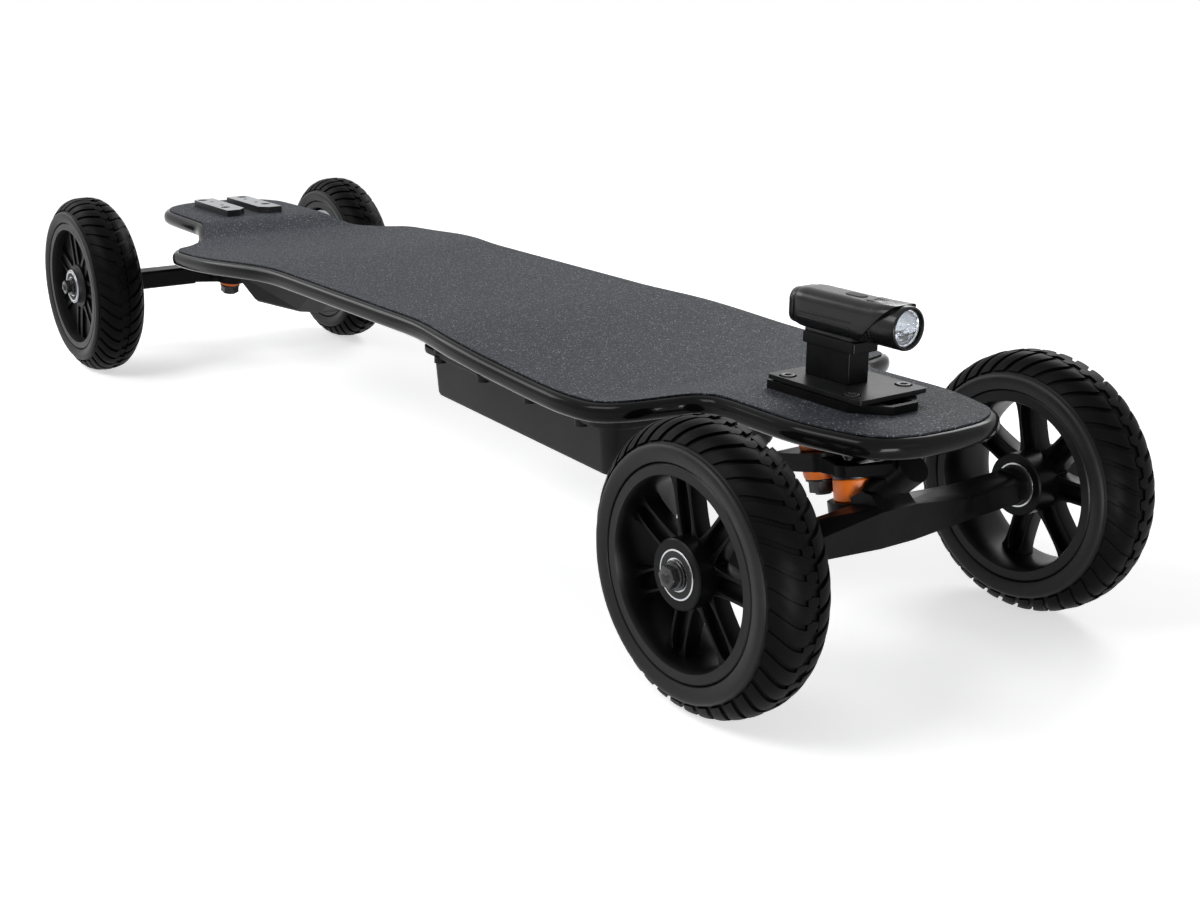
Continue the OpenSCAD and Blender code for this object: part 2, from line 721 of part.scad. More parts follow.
module light_post() {
    color(black) {
        translate([post_x, 0, 0]) rounded_plate(post_l, post_w, 1.5, plate_top, slab_top - slab_t);
        translate([post_x + 1.5, 0, 0]) rounded_plate(slab_l, slab_w, 2, slab_top - slab_t, slab_top);
        translate([post_x + 1.5, 0, 0]) rounded_plate(slab_l - 4, 14, 2, slab_top, slab_top + 1.3);
    }
}

// Headlight
body_x0 = light_x0 + 7;
body_x1 = light_x1 - 30;
head_x0 = light_x1 - 22;
module along_x(x) {
    translate([x, 0, light_z]) rotate([0, 90, 0]) children();
}
module light_section(x, w, h, r) {
    translate([x, 0, light_z]) rotate([0, 90, 0]) rounded_plate(h, w, r, 0, 0.02);
}
key_x = (light_x0 + light_x1) / 2 + 2;
key_top = light_z + light_h / 2;
module light_key_shape(grow, z0, z1) {
    translate([key_x, 0, z0]) linear_extrude(height = z1 - z0) {
        square([8, 7 + 2 * grow], center = true);
        for (s = [-1, 1]) translate([s * 4, 0]) circle(r = 3.5 + grow, $fn = 48);
    }
}
module light_body() {
    wall = 2;
    color(black) difference() {
        union() {
            hull() {
                light_section(body_x0, light_w - 2, light_h - 2, 7);
                light_section(body_x0 + 8, light_w, light_h, 7);
                light_section(body_x1, light_w, light_h, 7);
            }
            hull() {
                light_section(body_x1, light_w - 1, light_h - 1, 8);
                along_x(head_x0) disc(head_d / 2 - 2.5, 0, 2, 48);
            }
            for (s = [-1, 1], z = [-4, 0])
                translate([(body_x0 + body_x1) / 2 + 3, s * (light_w / 2), light_z + z - 3])
                    cube([body_x1 - body_x0 - 8, 1.2, 1.6], center = true);
            translate([post_x + 1.5, 0, 0])
                rounded_plate(slab_l - 4, 18, 3, slab_top + 1.3, light_z - light_h / 2 + 2);
        }
        along_x(0) disc(light_w / 2 - 4.2, body_x0 - 1, body_x1 - 6);
        along_x(0) disc(head_d / 2 - 6, body_x1 - 7, head_x0 + 3);
        light_key_shape(button_gap, light_z, key_top + 1);
    }
}
module light_tail_cap() {
    color(black) {
        hull() {
            light_section(light_x0, light_w - 9, light_h - 9, 5);
            light_section(light_x0 + 3, light_w - 3, light_h - 3, 6.5);
            light_section(body_x0 - 0.02, light_w - 2, light_h - 2, 7);
        }
        along_x(0) disc(light_w / 2 - 4.4, body_x0 - 0.1, body_x0 + 5);
    }
}
module light_bezel() {
    color(black) along_x(0) rotate_extrude($fn = 96) polygon([
        [head_d / 2 - 2.3, head_x0 + 2], [head_d / 2 - 0.8, head_x0 + 4], [head_d / 2, head_x0 + 9],
        [head_d / 2, light_x1 - 1.5], [head_d / 2 - 1, light_x1], [head_d / 2 - 2.2, light_x1],
        [head_d / 2 - 3, light_x1 - 2], [head_d / 2 - 3, head_x0 + 2]
    ]);
}
module light_reflector() {
    r = head_d / 2 - 3.2;
    x0 = head_x0 + 3.2;
    x1 = light_x1 - 5;
    steps = 6;
    curve = [for (i = [0:steps]) [3 + (r - 0.8 - 3) * sqrt(i / steps), x0 + 1 + (x1 - x0 - 1) * i / steps]];
    color(silver) along_x(0) rotate_extrude($fn = 96)
        polygon(concat(curve, [[r, x1], [r, x0], [3, x0]]));
}
module light_lens() {
    r = head_d / 2 - 3.2;
    color([0.85, 0.9, 0.95, 0.5]) along_x(0) rotate_extrude($fn = 96) polygon([
        [0, light_x1 - 4.8], [r, light_x1 - 4.8], [r, light_x1 - 2.8],
        [r * 0.6, light_x1 - 1.9], [0, light_x1 - 1.6]
    ]);
}
module light_led() {
    color([0.95, 0.9, 0.6]) {
        along_x(0) disc(head_d / 2 - 6.2, head_x0 + 1.2, head_x0 + 3, 48);
        along_x(0) disc(2.4, head_x0 + 3, head_x0 + 5, 48);
    }
}
module light_button() {
    color(black * 1.8) light_key_shape(0, key_top - 3, key_top + 0.5);
}

// Trucks, drawn for the front with the axle at X = 0
pin_head_h = 4;
pin_seat = 3.5;
inner_low = -link_ring_t / 2 - small_bushing_h;
inner_high = link_ring_t / 2 + bushing_h - 1;
outer_top = hanger_ring_t / 2 + bushing_h;
outer_low = -hanger_ring_t / 2 - small_bushing_h;
small_r = bushing_d / 2 - 4.5;
inner_small_r = bushing_d / 2 - 3;
link_boss_h = 7;
module below_riser() {
    intersection() {
        children();
        translate([-bolt_x * 2, -bolt_y, axle_z - bolt_x])
            cube([bolt_x * 4, bolt_y * 2, truck_h + bolt_x - riser_t]);
    }
}
module baseplate() {
    cup_r = inner_nose_r + pivot_clear;
    color(black) difference() {
        union() {
            translate([-mount_inset, 0, 0])
                rounded_plate(bolt_x + 22, bolt_y + 14, 6, base_bottom, deck_z - riser_t);
            below_riser() inner_pin_frame() disc(bushing_d / 2, inner_high, 60);
            below_riser() inner_pivot_frame() disc(cup_r + cup_wall, inner_reach - 7, inner_reach + 20);
        }
        for (p = bolt_spots)
            translate([p[0], p[1], 0])
                disc(bolt_d / 2 + seat_gap, base_bottom - 1, deck_z, 32);
        inner_pin_frame() disc(bushing_d / 2 + 0.5, 0, inner_high);
        inner_pin_frame() disc(kingpin_d / 2 + seat_gap, -5, 60);
        inner_pin_frame() hex(kingpin_nut_af + 0.6, inner_high + pin_seat, 60);
        inner_pivot_frame() disc(cup_r, inner_reach - 8, inner_reach + 0.5);
        inner_pivot_frame() translate([0, 0, 10])
            cylinder(h = inner_reach - 6 - 10, r1 = 12, r2 = cup_r, $fn = 64);
    }
}
module bushing(z0, z1, r0, r1) {
    difference() {
        translate([0, 0, z0]) cylinder(h = z1 - z0, r1 = r0, r2 = r1, $fn = 64);
        disc(kingpin_d / 2 + seat_gap, z0 - 1, z1 + 1);
    }
}
module washer(r, z0) {
    difference() {
        disc(r, z0, z0 + washer_t);
        disc(kingpin_d / 2 - 0.5, z0 - 1, z0 + washer_t + 1);
    }
}
module kingpin_nut(z_top) {
    difference() {
        hex(kingpin_nut_af, z_top - nut_h, z_top);
        disc(kingpin_d / 2 - 0.5, z_top - nut_h - 1, z_top + 1);
    }
}
module inner_kingpin() {
    low = inner_low - washer_t;
    seat = inner_high + pin_seat;
    color(silver * 0.5) inner_pin_frame() {
        disc(kingpin_d / 2, low - nut_h - 1.5, seat + 1);
        hex(kingpin_nut_af, seat, seat + pin_head_h);
        washer(inner_small_r - 1, low);
        kingpin_nut(low);
    }
}
module inner_bushings() {
    top = link_ring_t / 2;
    color(orange) inner_pin_frame() {
        bushing(top, inner_high, bushing_d / 2 - 2.5, bushing_d / 2 - 2);
        bushing(inner_low, -top, inner_small_r - 0.5, inner_small_r + 0.5);
    }
}
arm_in = 0.6;
module link_arm(s) {
    ring = link_ring_t - 2 * arm_in;
    boss = link_boss_h - 2 * arm_in;
    hull() {
        inner_pin_frame() translate([12.3, s * 12.4, -ring / 2])
            cylinder(h = ring, r = 4, $fn = 32);
        outer_pin_frame() translate([-0.6, s * 9.6, outer_top + washer_t + arm_in])
            cylinder(h = boss, r = 3.7, $fn = 32);
    }
    hull() {
        outer_pin_frame() translate([3.7, s * 8.7, outer_top + washer_t + arm_in / 2])
            cylinder(h = boss, r = 4.1, $fn = 32);
        outer_pivot_frame() translate([-4.3, s * 7.4, outer_reach - 3.7])
            cylinder(h = 8.7, r = 3.9, $fn = 32);
    }
}
module link() {
    cup_r = outer_nose_r + pivot_clear;
    color(black) difference() {
        union() {
            inner_pin_frame() translate([-2, 0, 0])
                rounded_plate(bushing_d + 16, bushing_d + 8, 8, -link_ring_t / 2, link_ring_t / 2);
            outer_pin_frame()
                disc(bushing_d / 2, outer_top + washer_t, outer_top + washer_t + link_boss_h);
            link_arm(-1);
            link_arm(1);
            outer_pivot_frame() disc(cup_r + cup_wall, outer_reach - 6, outer_reach + 8);
            inner_pivot_frame() translate([0, 0, 14])
                cylinder(h = inner_reach - 14 - 5, r1 = 9, r2 = inner_nose_r, $fn = 64);
            inner_pivot_frame() disc(inner_nose_r, inner_reach - 6, inner_reach);
        }
        inner_pin_frame() disc(ring_hole_d / 2, -30, link_ring_t / 2 + 1);
        inner_pin_frame() disc(bushing_d / 2 + 1, link_ring_t / 2, inner_high);
        outer_pin_frame() disc(kingpin_d / 2 + 0.05, 0, outer_top + washer_t + link_boss_h - 0.5);
        outer_pin_frame() disc(bushing_d / 2 + 2.5, 0, outer_top + washer_t);
        outer_pivot_frame() disc(cup_r, outer_reach - 30, outer_reach + 4);
        outer_pivot_frame() translate([0, 0, 15])
            cylinder(h = outer_reach - 15 - 6, r1 = 11.9, r2 = cup_r + 0.2, $fn = 64);
    }
}
module outer_kingpin() {
    low = outer_low - washer_t;
    color(silver * 0.5) outer_pin_frame() {
        disc(kingpin_d / 2, low - nut_h - 1.5, outer_top + washer_t + link_boss_h - 1);
        washer(bushing_d / 2 - 0.5, outer_top);
        washer(small_r, low);
        kingpin_nut(low);
    }
}
module outer_bushings() {
    top = hanger_ring_t / 2;
    color(orange) outer_pin_frame() {
        bushing(top, outer_top, bushing_d / 2, bushing_d / 2 - 0.5);
        bushing(outer_low, -top, small_r, small_r + 0.5);
    }
}

// Hangers
hanger_end = wheel_in - 3;
spacer_y = hub_in - face_gap;
module hanger_core() {
    outer_pin_frame() disc(18, -hanger_ring_t / 2, hanger_ring_t / 2);
    // block that joins the ring, the bar and the pivot nose
    rotate([90, 0, 0]) linear_extrude(height = 28, center = true) polygon([
        [-22, axle_z - 7], [-4, axle_z - 7], [12.6, axle_z - 3], [12.6, axle_z + 10.5],
        [3, axle_z + 18.5], [-5, axle_z + 18.5], [-24, axle_z + 5]
    ]);
    outer_pivot_frame() translate([0, 0, 16])
        cylinder(h = outer_reach - 16 - 6, r1 = 11, r2 = outer_nose_r, $fn = 64);
    outer_pivot_frame() disc(outer_nose_r, outer_reach - 8, outer_reach + 3);
}
module hanger_holes() {
    outer_pin_frame() disc(ring_hole_d / 2, -40, hanger_ring_t / 2 + 1);
    outer_pin_frame() disc(bushing_d / 2 + 2.5, hanger_ring_t / 2, outer_top + 2);
    outer_pin_frame() disc(small_r + 2, -40, -hanger_ring_t / 2);
    rotate([90, 0, 0]) translate([0, axle_z, 0])
        cylinder(h = 2 * spacer_y + 2, r = axle_r + run_clear, center = true, $fn = 64);
}
module axle_spacer(r) {
    for (s = [-1, 1])
        translate([0, s * (hanger_end - 1), axle_z]) rotate([-90 * s, 0, 0])
            cylinder(h = spacer_y - hanger_end + 1, r = r, $fn = 64);
}
// Bar section: a flat front face with the top sloping back
module bar_section(y, front_h, back_h, depth, drop) {
    translate([0, y, axle_z - drop]) rotate([90, 0, 0]) linear_extrude(height = 0.1, center = true)
        polygon([
            [depth / 2, -front_h / 2], [depth / 2, front_h / 2], [depth / 2 - 4, front_h / 2 + 2],
            [-depth / 2 + 4, back_h / 2], [-depth / 2, back_h / 2 - 4], [-depth / 2, -front_h / 2]
        ]);
}
module front_hanger_body() {
    color(black) difference() {
        union() {
            hanger_core();
            for (s = [-1, 1]) {
                hull() {
                    bar_section(0, 22, 20, 26, 0);
                    bar_section(s * 14, 22, 20, 26, 0);
                    bar_section(s * 62, 13, 19, 24, 2);
                }
                hull() {
                    bar_section(s * 62, 13, 19, 24, 2);
                    bar_section(s * hanger_end, 14, 18, 22, 0);
                }
            }
            axle_spacer(12);
        }
        hanger_holes();
    }
}
module rear_hanger_body() {
    block_l = 74;
    block_depth = 22;
    block_h = 17;
    color(black) difference() {
        union() {
            hanger_core();
            for (s = [-1, 1]) {
                hull() {
                    bar_section(0, 20, 20, 22, 0);
                    bar_section(s * (hanger_end - block_l), 14, 16, 20, 0);
                }
                translate([0, s * (hanger_end - block_l / 2), axle_z]) rotate([90, 0, 0])
                    rounded_plate(block_depth, block_h, 2.5, -block_l / 2, block_l / 2);
            }
            axle_spacer(11);
        }
        hanger_holes();
        for (s = [-1, 1])
            translate([block_depth / 2 - 2.5, s * (hanger_end - block_l + 12), axle_z - 2])
                rotate([0, 90, 0]) disc(2.4, 0, 5, 32);
    }
}
nut_in = track / 2 + hub_out + face_gap;
nut_t = 6;
washer_d = 24;
module axle() {
    reach = nut_in + 1.5 + nut_t + thread_out;
    color(silver) translate([0, 0, axle_z]) rotate([90, 0, 0])
        cylinder(h = 2 * reach, r = axle_r, center = true, $fn = 64);
}
module axle_nuts() {
    color(black) for (s = [-1, 1]) translate([0, 0, axle_z]) rotate([-90 * s, 0, 0]) difference() {
        union() {
            disc(washer_d / 2 - 3, nut_in, nut_in + 1.5);
            hex(nut_af, nut_in + 1.5, nut_in + 1.5 + nut_t);
        }
        disc(axle_r + 0.02, nut_in - 1, nut_in + nut_t + 3);
    }
}

// Wheels, drawn with Z pointing outwards and the tyre's centre at the origin
tyre_r = tyre_d / 2;
half_w = tyre_w / 2;
rim_r = rim_d / 2;
sidewall_h = 6;
function crown(y) = tyre_r - (tyre_r - rim_r - sidewall_h) * pow(min(1, abs(y) / half_w), 3.1);
module at_wheel(front, left) {
    translate([(front ? 1 : -1) * axle_x, (left ? 1 : -1) * track / 2, axle_z])
        rotate([left ? -90 : 90, 0, 0]) children();
}
module groove_cutter() {
    stations = [5, 10, 15, 19, half_w + 0.5];
    floor_pts = [for (y = stations) [crown(min(y, half_w - 1.5)) - groove_depth, y]];
    rotate([90, 0, 0]) linear_extrude(height = groove_w, center = true)
        polygon(concat(floor_pts, [[tyre_r + 8, half_w + 4], [tyre_r + 8, stations[0]]]));
}
module tyre(way) {
    steps = 9;
    reach = half_w - 2;
    bead = rim_w / 2 - 1.5;
    crown_pts = [for (i = [-steps:steps]) [crown(reach * i / steps), reach * i / steps]];
    color(rubber) difference() {
        rotate_extrude($fn = 128) polygon(concat(
            [[rim_r + seat_gap, -bead], [rim_r + sidewall_h - 1.5, -half_w]], crown_pts,
            [[rim_r + sidewall_h - 1.5, half_w], [rim_r + seat_gap, bead]]
        ));
        for (i = [0:lugs - 1], s = [0, 1])
            rotate([0, 0, (i + s / 2) * 360 / lugs])
                mirror([0, 0, s]) rotate([way * groove_sweep, 0, 0]) groove_cutter();
    }
}
spoke_z0 = 0;
spoke_z1 = 11;
module barrel() {
    w = rim_w / 2;
    open_r = rim_open_d / 2;
    rotate_extrude($fn = 128) polygon([
        [open_r, w], [rim_r - 1.2, w], [rim_r, w - 1.2], [rim_r, -w + 1.2], [rim_r - 1.2, -w],
        [open_r, -w], [open_r - 2.5, -w + 14], [open_r - 2.5, w - 10]
    ]);
}
// One spoke in plan: it flares where it meets the hub and the barrel
function spoke_half(x, x0, x1) = spoke_w / 2 + 1.6 * exp((x0 - x) / 4) + 2.4 * exp((x - x1) / 3.5);
module spoke_plan(side, x0, x1) {
    steps = 12;
    y = side * spoke_spread / 2;
    stations = [for (i = [0:steps]) x0 + (x1 - x0) * i / steps];
    polygon(concat(
        [for (x = stations) [x, y - spoke_half(x, x0, x1)]],
        [for (i = [steps:-1:0]) [stations[i], y + spoke_half(stations[i], x0, x1)]]
    ));
}
module spokes(r0, z0, z1, web_z1) {
    r1 = rim_open_d / 2 - 1.5;
    for (k = [0:spoke_pairs - 1]) rotate([0, 0, k * 360 / spoke_pairs]) {
        for (side = [-1, 1])
            translate([0, 0, z0]) linear_extrude(height = z1 - z0) spoke_plan(side, r0 - 2, r1);
        translate([0, 0, z0]) linear_extrude(height = web_z1 - z0)
            polygon([[r0 - 2, -spoke_spread / 2], [r1, -spoke_spread / 2],
                [r1, spoke_spread / 2], [r0 - 2, spoke_spread / 2]]);
    }
}
module front_rim() {
    color(black) difference() {
        union() {
            barrel();
            spokes(hub_d / 2 - 1.5, spoke_z0, spoke_z1, spoke_z0 + 4);
            disc(hub_d / 2, -16.8, hub_out);
        }
        disc(bearing_d / 2 + 0.02, hub_out - bearing_w, hub_out + 1);
        disc(bearing_d / 2 + 0.02, -17, -16.8 + bearing_w);
        disc(bearing_d / 2 - 2.5, -20, hub_out);
    }
}
module bearing(z0) {
    difference() {
        disc(bearing_d / 2, z0, z0 + bearing_w);
        disc(axle_r + run_clear, z0 - 1, z0 + bearing_w + 1);
        translate([0, 0, z0 + bearing_w]) rotate_extrude($fn = 64)
            translate([bearing_d / 2 - 4.6, -0.4]) square([2.8, 1]);
    }
}
module front_bearings() {
    color(silver) {
        bearing(hub_out - bearing_w);
        bearing(-16.8);
    }
}
// Hub motor inside a rear rim
can_r = rim_open_d / 2 - 2.5 - seat_gap;
can_z0 = -16.8;
can_z1 = 8;
can_wall = 3;
hub_cap_r = 16;
module rear_rim() {
    disc_z = can_z1 + seat_gap;
    color(black) difference() {
        union() {
            barrel();
            disc(rim_open_d / 2 - 1, disc_z, disc_z + 3);
            spokes(hub_cap_r + 2.2, disc_z + 1.2, disc_z + 5.5, disc_z + 4);
            disc(hub_cap_r + 4, disc_z + 0.6, hub_out - 6);
        }
        disc(hub_cap_r + seat_gap, -20, hub_out);
    }
}
module motor_can() {
    color(silver * 0.8) difference() {
        union() {
            disc(can_r, can_z0, can_z1);
            disc(hub_cap_r, can_z1, hub_out);
        }
        disc(can_r - can_wall, can_z0 + can_wall, can_z1 - can_wall);
        disc(bearing_d / 2 - 2.5, can_z0 - 1, hub_out + 1);
        disc(bearing_d / 2 + 0.02, hub_out - bearing_w, hub_out + 1);
        disc(bearing_d / 2 + 0.02, can_z0 - 1, can_z0 + can_wall + 1);
    }
}
module rear_bearings() {
    color(silver) {
        bearing(hub_out - bearing_w);
        difference() {
            disc(bearing_d / 2, can_z0, can_z0 + can_wall);
            disc(axle_r + run_clear, can_z0 - 1, can_z0 + can_wall + 1);
        }
    }
}
module stator() {
    slots = 12;
    gap = 0.6;
    r = can_r - can_wall - gap;
    z0 = can_z0 + can_wall + face_gap + 1;
    z1 = can_z1 - can_wall - face_gap - 1;
    color([0.6, 0.35, 0.15]) difference() {
        disc(r, z0, z1);
        disc(axle_r + 0.02, z0 - 1, z1 + 1);
        for (k = [0:slots - 1]) rotate([0, 0, k * 360 / slots])
            translate([r - 9, -2.5, z0 - 1]) cube([20, 5, z1 - z0 + 2]);
    }
}
module rear_stators() {
    at_wheel(false, true) stator();
    at_wheel(false, false) stator();
}

deck_board();
grip_tape();
riser_pads();
truck_bolts();
battery_tub();
battery_lid();
battery_cells();
battery_board();
box_screws();
controller_cover();
controller_board();
charge_socket();
charge_cap();
power_button();
rear_rails();
light_block();
light_plate();
light_post();
light_body();
light_tail_cap();
light_bezel();
light_reflector();
light_lens();
light_led();
light_button();
at_front() baseplate();  // front_baseplate
at_front() inner_kingpin();  // front_inner_kingpin
at_front() inner_bushings();  // front_inner_bushings
at_front() link();  // front_link
at_front() outer_kingpin();  // front_outer_kingpin
at_front() outer_bushings();  // front_outer_bushings
at_front() front_hanger_body();  // front_hanger
at_front() axle();  // front_axle
at_front() axle_nuts();  // front_axle_nuts
at_rear() baseplate();  // rear_baseplate
at_rear() inner_kingpin();  // rear_inner_kingpin
at_rear() inner_bushings();  // rear_inner_bushings
at_rear() link();  // rear_link
at_rear() outer_kingpin();  // rear_outer_kingpin
at_rear() outer_bushings();  // rear_outer_bushings
at_rear() rear_hanger_body();  // rear_hanger
at_rear() axle();  // rear_axle
at_rear() axle_nuts();  // rear_axle_nuts
rear_stators();
at_wheel(true, true) tyre(1);  // front_left_tyre
at_wheel(true, true) front_rim();  // front_left_rim
at_wheel(true, true) front_bearings();  // front_left_bearings
at_wheel(true, false) tyre(-1);  // front_right_tyre
at_wheel(true, false) front_rim();  // front_right_rim
at_wheel(true, false) front_bearings();  // front_right_bearings
at_wheel(false, true) tyre(1);  // rear_left_tyre
at_wheel(false, true) rear_rim();  // rear_left_rim
at_wheel(false, true) motor_can();  // rear_left_motor_can
at_wheel(false, true) rear_bearings();  // rear_left_bearings
at_wheel(false, false) tyre(-1);  // rear_right_tyre
at_wheel(false, false) rear_rim();  // rear_right_rim
at_wheel(false, false) motor_can();  // rear_right_motor_can
at_wheel(false, false) rear_bearings();  // rear_right_bearings
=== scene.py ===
import json
import math

import bpy
from mathutils import Matrix, Vector


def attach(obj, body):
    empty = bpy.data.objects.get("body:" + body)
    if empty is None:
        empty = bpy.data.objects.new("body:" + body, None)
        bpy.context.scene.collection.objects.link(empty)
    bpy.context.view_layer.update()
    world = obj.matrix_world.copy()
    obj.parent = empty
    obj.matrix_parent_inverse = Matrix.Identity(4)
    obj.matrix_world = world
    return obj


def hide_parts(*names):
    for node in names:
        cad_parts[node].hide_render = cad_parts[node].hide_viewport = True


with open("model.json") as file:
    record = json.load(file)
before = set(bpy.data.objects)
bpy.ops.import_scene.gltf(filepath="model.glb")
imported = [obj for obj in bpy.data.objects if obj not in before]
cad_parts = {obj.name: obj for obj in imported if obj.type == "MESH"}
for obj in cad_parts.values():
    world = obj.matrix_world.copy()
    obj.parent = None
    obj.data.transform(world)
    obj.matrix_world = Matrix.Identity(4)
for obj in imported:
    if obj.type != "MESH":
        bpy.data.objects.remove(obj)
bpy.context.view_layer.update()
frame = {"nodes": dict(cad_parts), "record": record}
nodes = frame["nodes"]
bpy.ops.object.select_all(action="DESELECT")
mm = 0.001
wheelSize = {"wheelbase": 917, "track": 264, "axleHeight": 82.5, "tyreRadius": 82.5, "halfWidth": 24}

# Camera, floor and light

cameraPlace = {
    "azimuth": 53.51,  # degrees round the board, from its right side towards the nose
    "elevation": 16.98,
    "roll": 0.65,
    "position": (1.08669, -0.66851, 0.39855),
    "focal": 49.57,
    "sensor": 36.0,
}


def placeCamera(settings):
    a = math.radians(settings["azimuth"])
    e = math.radians(settings["elevation"])
    r = math.radians(settings["roll"])
    back = Vector((math.sin(a) * math.cos(e), -math.cos(a) * math.cos(e), math.sin(e)))
    right = Vector((math.cos(a), math.sin(a), 0.0))
    up = back.cross(right)
    rolledRight = right * math.cos(r) + up * math.sin(r)
    rolledUp = up * math.cos(r) - right * math.sin(r)
    data = bpy.data.cameras.new("photoCamera")
    data.lens = settings["focal"]
    data.sensor_width = settings["sensor"]
    data.sensor_fit = "HORIZONTAL"
    data.clip_start = 0.01
    camera = bpy.data.objects.new("photoCamera", data)
    turn = Matrix((rolledRight, rolledUp, back)).transposed().to_4x4()
    camera.matrix_world = Matrix.Translation(settings["position"]) @ turn
    bpy.context.scene.collection.objects.link(camera)
    bpy.context.scene.camera = camera


studioLamps = {
    # name: (place, target, size, power in watts)
    "rightSoftbox": ((-0.2, -1.7, 1.7), (-0.2, 0.0, 0.1), 1.5, 29),
    "noseSoftbox": ((2.3, 0.2, 0.9), (0.3, 0.0, 0.12), 0.8, 0.8),
    "farSoftbox": ((-0.7, 1.9, 1.6), (-0.1, 0.0, 0.1), 1.5, 28),
    "tailSoftbox": ((-1.9, -0.9, 1.2), (-0.3, 0.0, 0.1), 1.2, 12),
    "truckSoftbox": ((1.0, -0.25, 0.08), (0.43, 0.0, 0.09), 0.25, 2.2),
}
backdrop = {
    "worldStrength": 0.15,
    "floorColour": (0.80, 0.80, 0.81, 1),
    "floorGlow": 0.60,
    "floorSize": 14.0,
    "fade": (0.75, 1.9),  # distances from the origin between which the floor turns white
}


def addLamps(settings):
    for name, (place, target, size, power) in settings.items():
        data = bpy.data.lights.new(name, "AREA")
        data.shape = "RECTANGLE"
        data.size = size
        data.size_y = size * 0.6
        data.energy = power
        lamp = bpy.data.objects.new(name, data)
        aim = (Vector(target) - Vector(place)).to_track_quat("-Z", "Y")
        lamp.matrix_world = Matrix.Translation(place) @ aim.to_matrix().to_4x4()
        bpy.context.scene.collection.objects.link(lamp)


def seenRays(tree):
    # 1 for rays that show the background: straight, mirrored or through glass
    path = tree.nodes.new("ShaderNodeLightPath")
    result = path.outputs["Is Camera Ray"]
    for name in ("Is Glossy Ray", "Is Transmission Ray"):
        larger = tree.nodes.new("ShaderNodeMath")
        larger.operation = "MAXIMUM"
        tree.links.new(result, larger.inputs[0])
        tree.links.new(path.outputs[name], larger.inputs[1])
        result = larger.outputs[0]
    return result


def buildBackdrop(settings):
    world = bpy.data.worlds.new("studioWorld")
    bpy.context.scene.world = world
    world.use_nodes = True
    tree = world.node_tree
    tree.nodes.clear()
    out = tree.nodes.new("ShaderNodeOutputWorld")
    mix = tree.nodes.new("ShaderNodeMixShader")
    for i, strength in ((1, settings["worldStrength"]), (2, 1.0)):
        sky = tree.nodes.new("ShaderNodeBackground")
        sky.inputs["Color"].default_value = (1, 1, 1, 1)
        sky.inputs["Strength"].default_value = strength
        tree.links.new(sky.outputs[0], mix.inputs[i])
    tree.links.new(seenRays(tree), mix.inputs["Fac"])
    tree.links.new(mix.outputs[0], out.inputs["Surface"])

    bpy.ops.mesh.primitive_plane_add(size=settings["floorSize"], location=(0, 0, 0))
    floor = bpy.context.object
    floor.name = "studioFloor"
    material = bpy.data.materials.new("paleFloor")
    material.use_nodes = True
    tree = material.node_tree
    tree.nodes.clear()
    out = tree.nodes.new("ShaderNodeOutputMaterial")
    paper = tree.nodes.new("ShaderNodeBsdfDiffuse")
    paper.inputs["Color"].default_value = settings["floorColour"]
    glow = tree.nodes.new("ShaderNodeEmission")
    lift = tree.nodes.new("ShaderNodeMath")
    lift.operation = "MULTIPLY"
    lift.inputs[1].default_value = settings["floorGlow"]
    tree.links.new(seenRays(tree), lift.inputs[0])
    tree.links.new(lift.outputs[0], glow.inputs["Strength"])
    add = tree.nodes.new("ShaderNodeAddShader")
    tree.links.new(paper.outputs[0], add.inputs[0])
    tree.links.new(glow.outputs[0], add.inputs[1])
    white = tree.nodes.new("ShaderNodeEmission")
    distance = tree.nodes.new("ShaderNodeVectorMath")
    distance.operation = "LENGTH"
    tree.links.new(tree.nodes.new("ShaderNodeTexCoord").outputs["Object"], distance.inputs[0])
    fade = tree.nodes.new("ShaderNodeMapRange")
    fade.interpolation_type = "SMOOTHSTEP"
    fade.inputs["From Min"].default_value, fade.inputs["From Max"].default_value = settings["fade"]
    tree.links.new(distance.outputs["Value"], fade.inputs["Value"])
    seenFade = tree.nodes.new("ShaderNodeMath")
    seenFade.operation = "MULTIPLY"
    tree.links.new(fade.outputs["Result"], seenFade.inputs[0])
    tree.links.new(seenRays(tree), seenFade.inputs[1])
    blend = tree.nodes.new("ShaderNodeMixShader")
    tree.links.new(seenFade.outputs[0], blend.inputs["Fac"])
    tree.links.new(add.outputs[0], blend.inputs[1])
    tree.links.new(white.outputs[0], blend.inputs[2])
    tree.links.new(blend.outputs[0], out.inputs["Surface"])
    floor.data.materials.append(material)


print("camera, lamps and floor")
placeCamera(cameraPlace)
addLamps(studioLamps)
buildBackdrop(backdrop)
bpy.context.scene.view_settings.view_transform = "Standard"
bpy.ops.object.select_all(action="DESELECT")

# Finishes


def newShader(name):
    material = bpy.data.materials.new(name)
    material.use_nodes = True
    tree = material.node_tree
    return material, tree, tree.nodes["Principled BSDF"]


def ownCoordinates(tree, stretch=(1, 1, 1)):
    place = tree.nodes.new("ShaderNodeTexCoord")
    mapping = tree.nodes.new("ShaderNodeMapping")
    mapping.inputs["Scale"].default_value = stretch
    tree.links.new(place.outputs["Object"], mapping.inputs["Vector"])
    return mapping.outputs["Vector"]


def cloud(tree, vector, scale, detail=3.0, roughness=0.5):
    noise = tree.nodes.new("ShaderNodeTexNoise")
    noise.inputs["Scale"].default_value = scale
    noise.inputs["Detail"].default_value = detail
    noise.inputs["Roughness"].default_value = roughness
    tree.links.new(vector, noise.inputs["Vector"])
    return noise.outputs["Fac"]


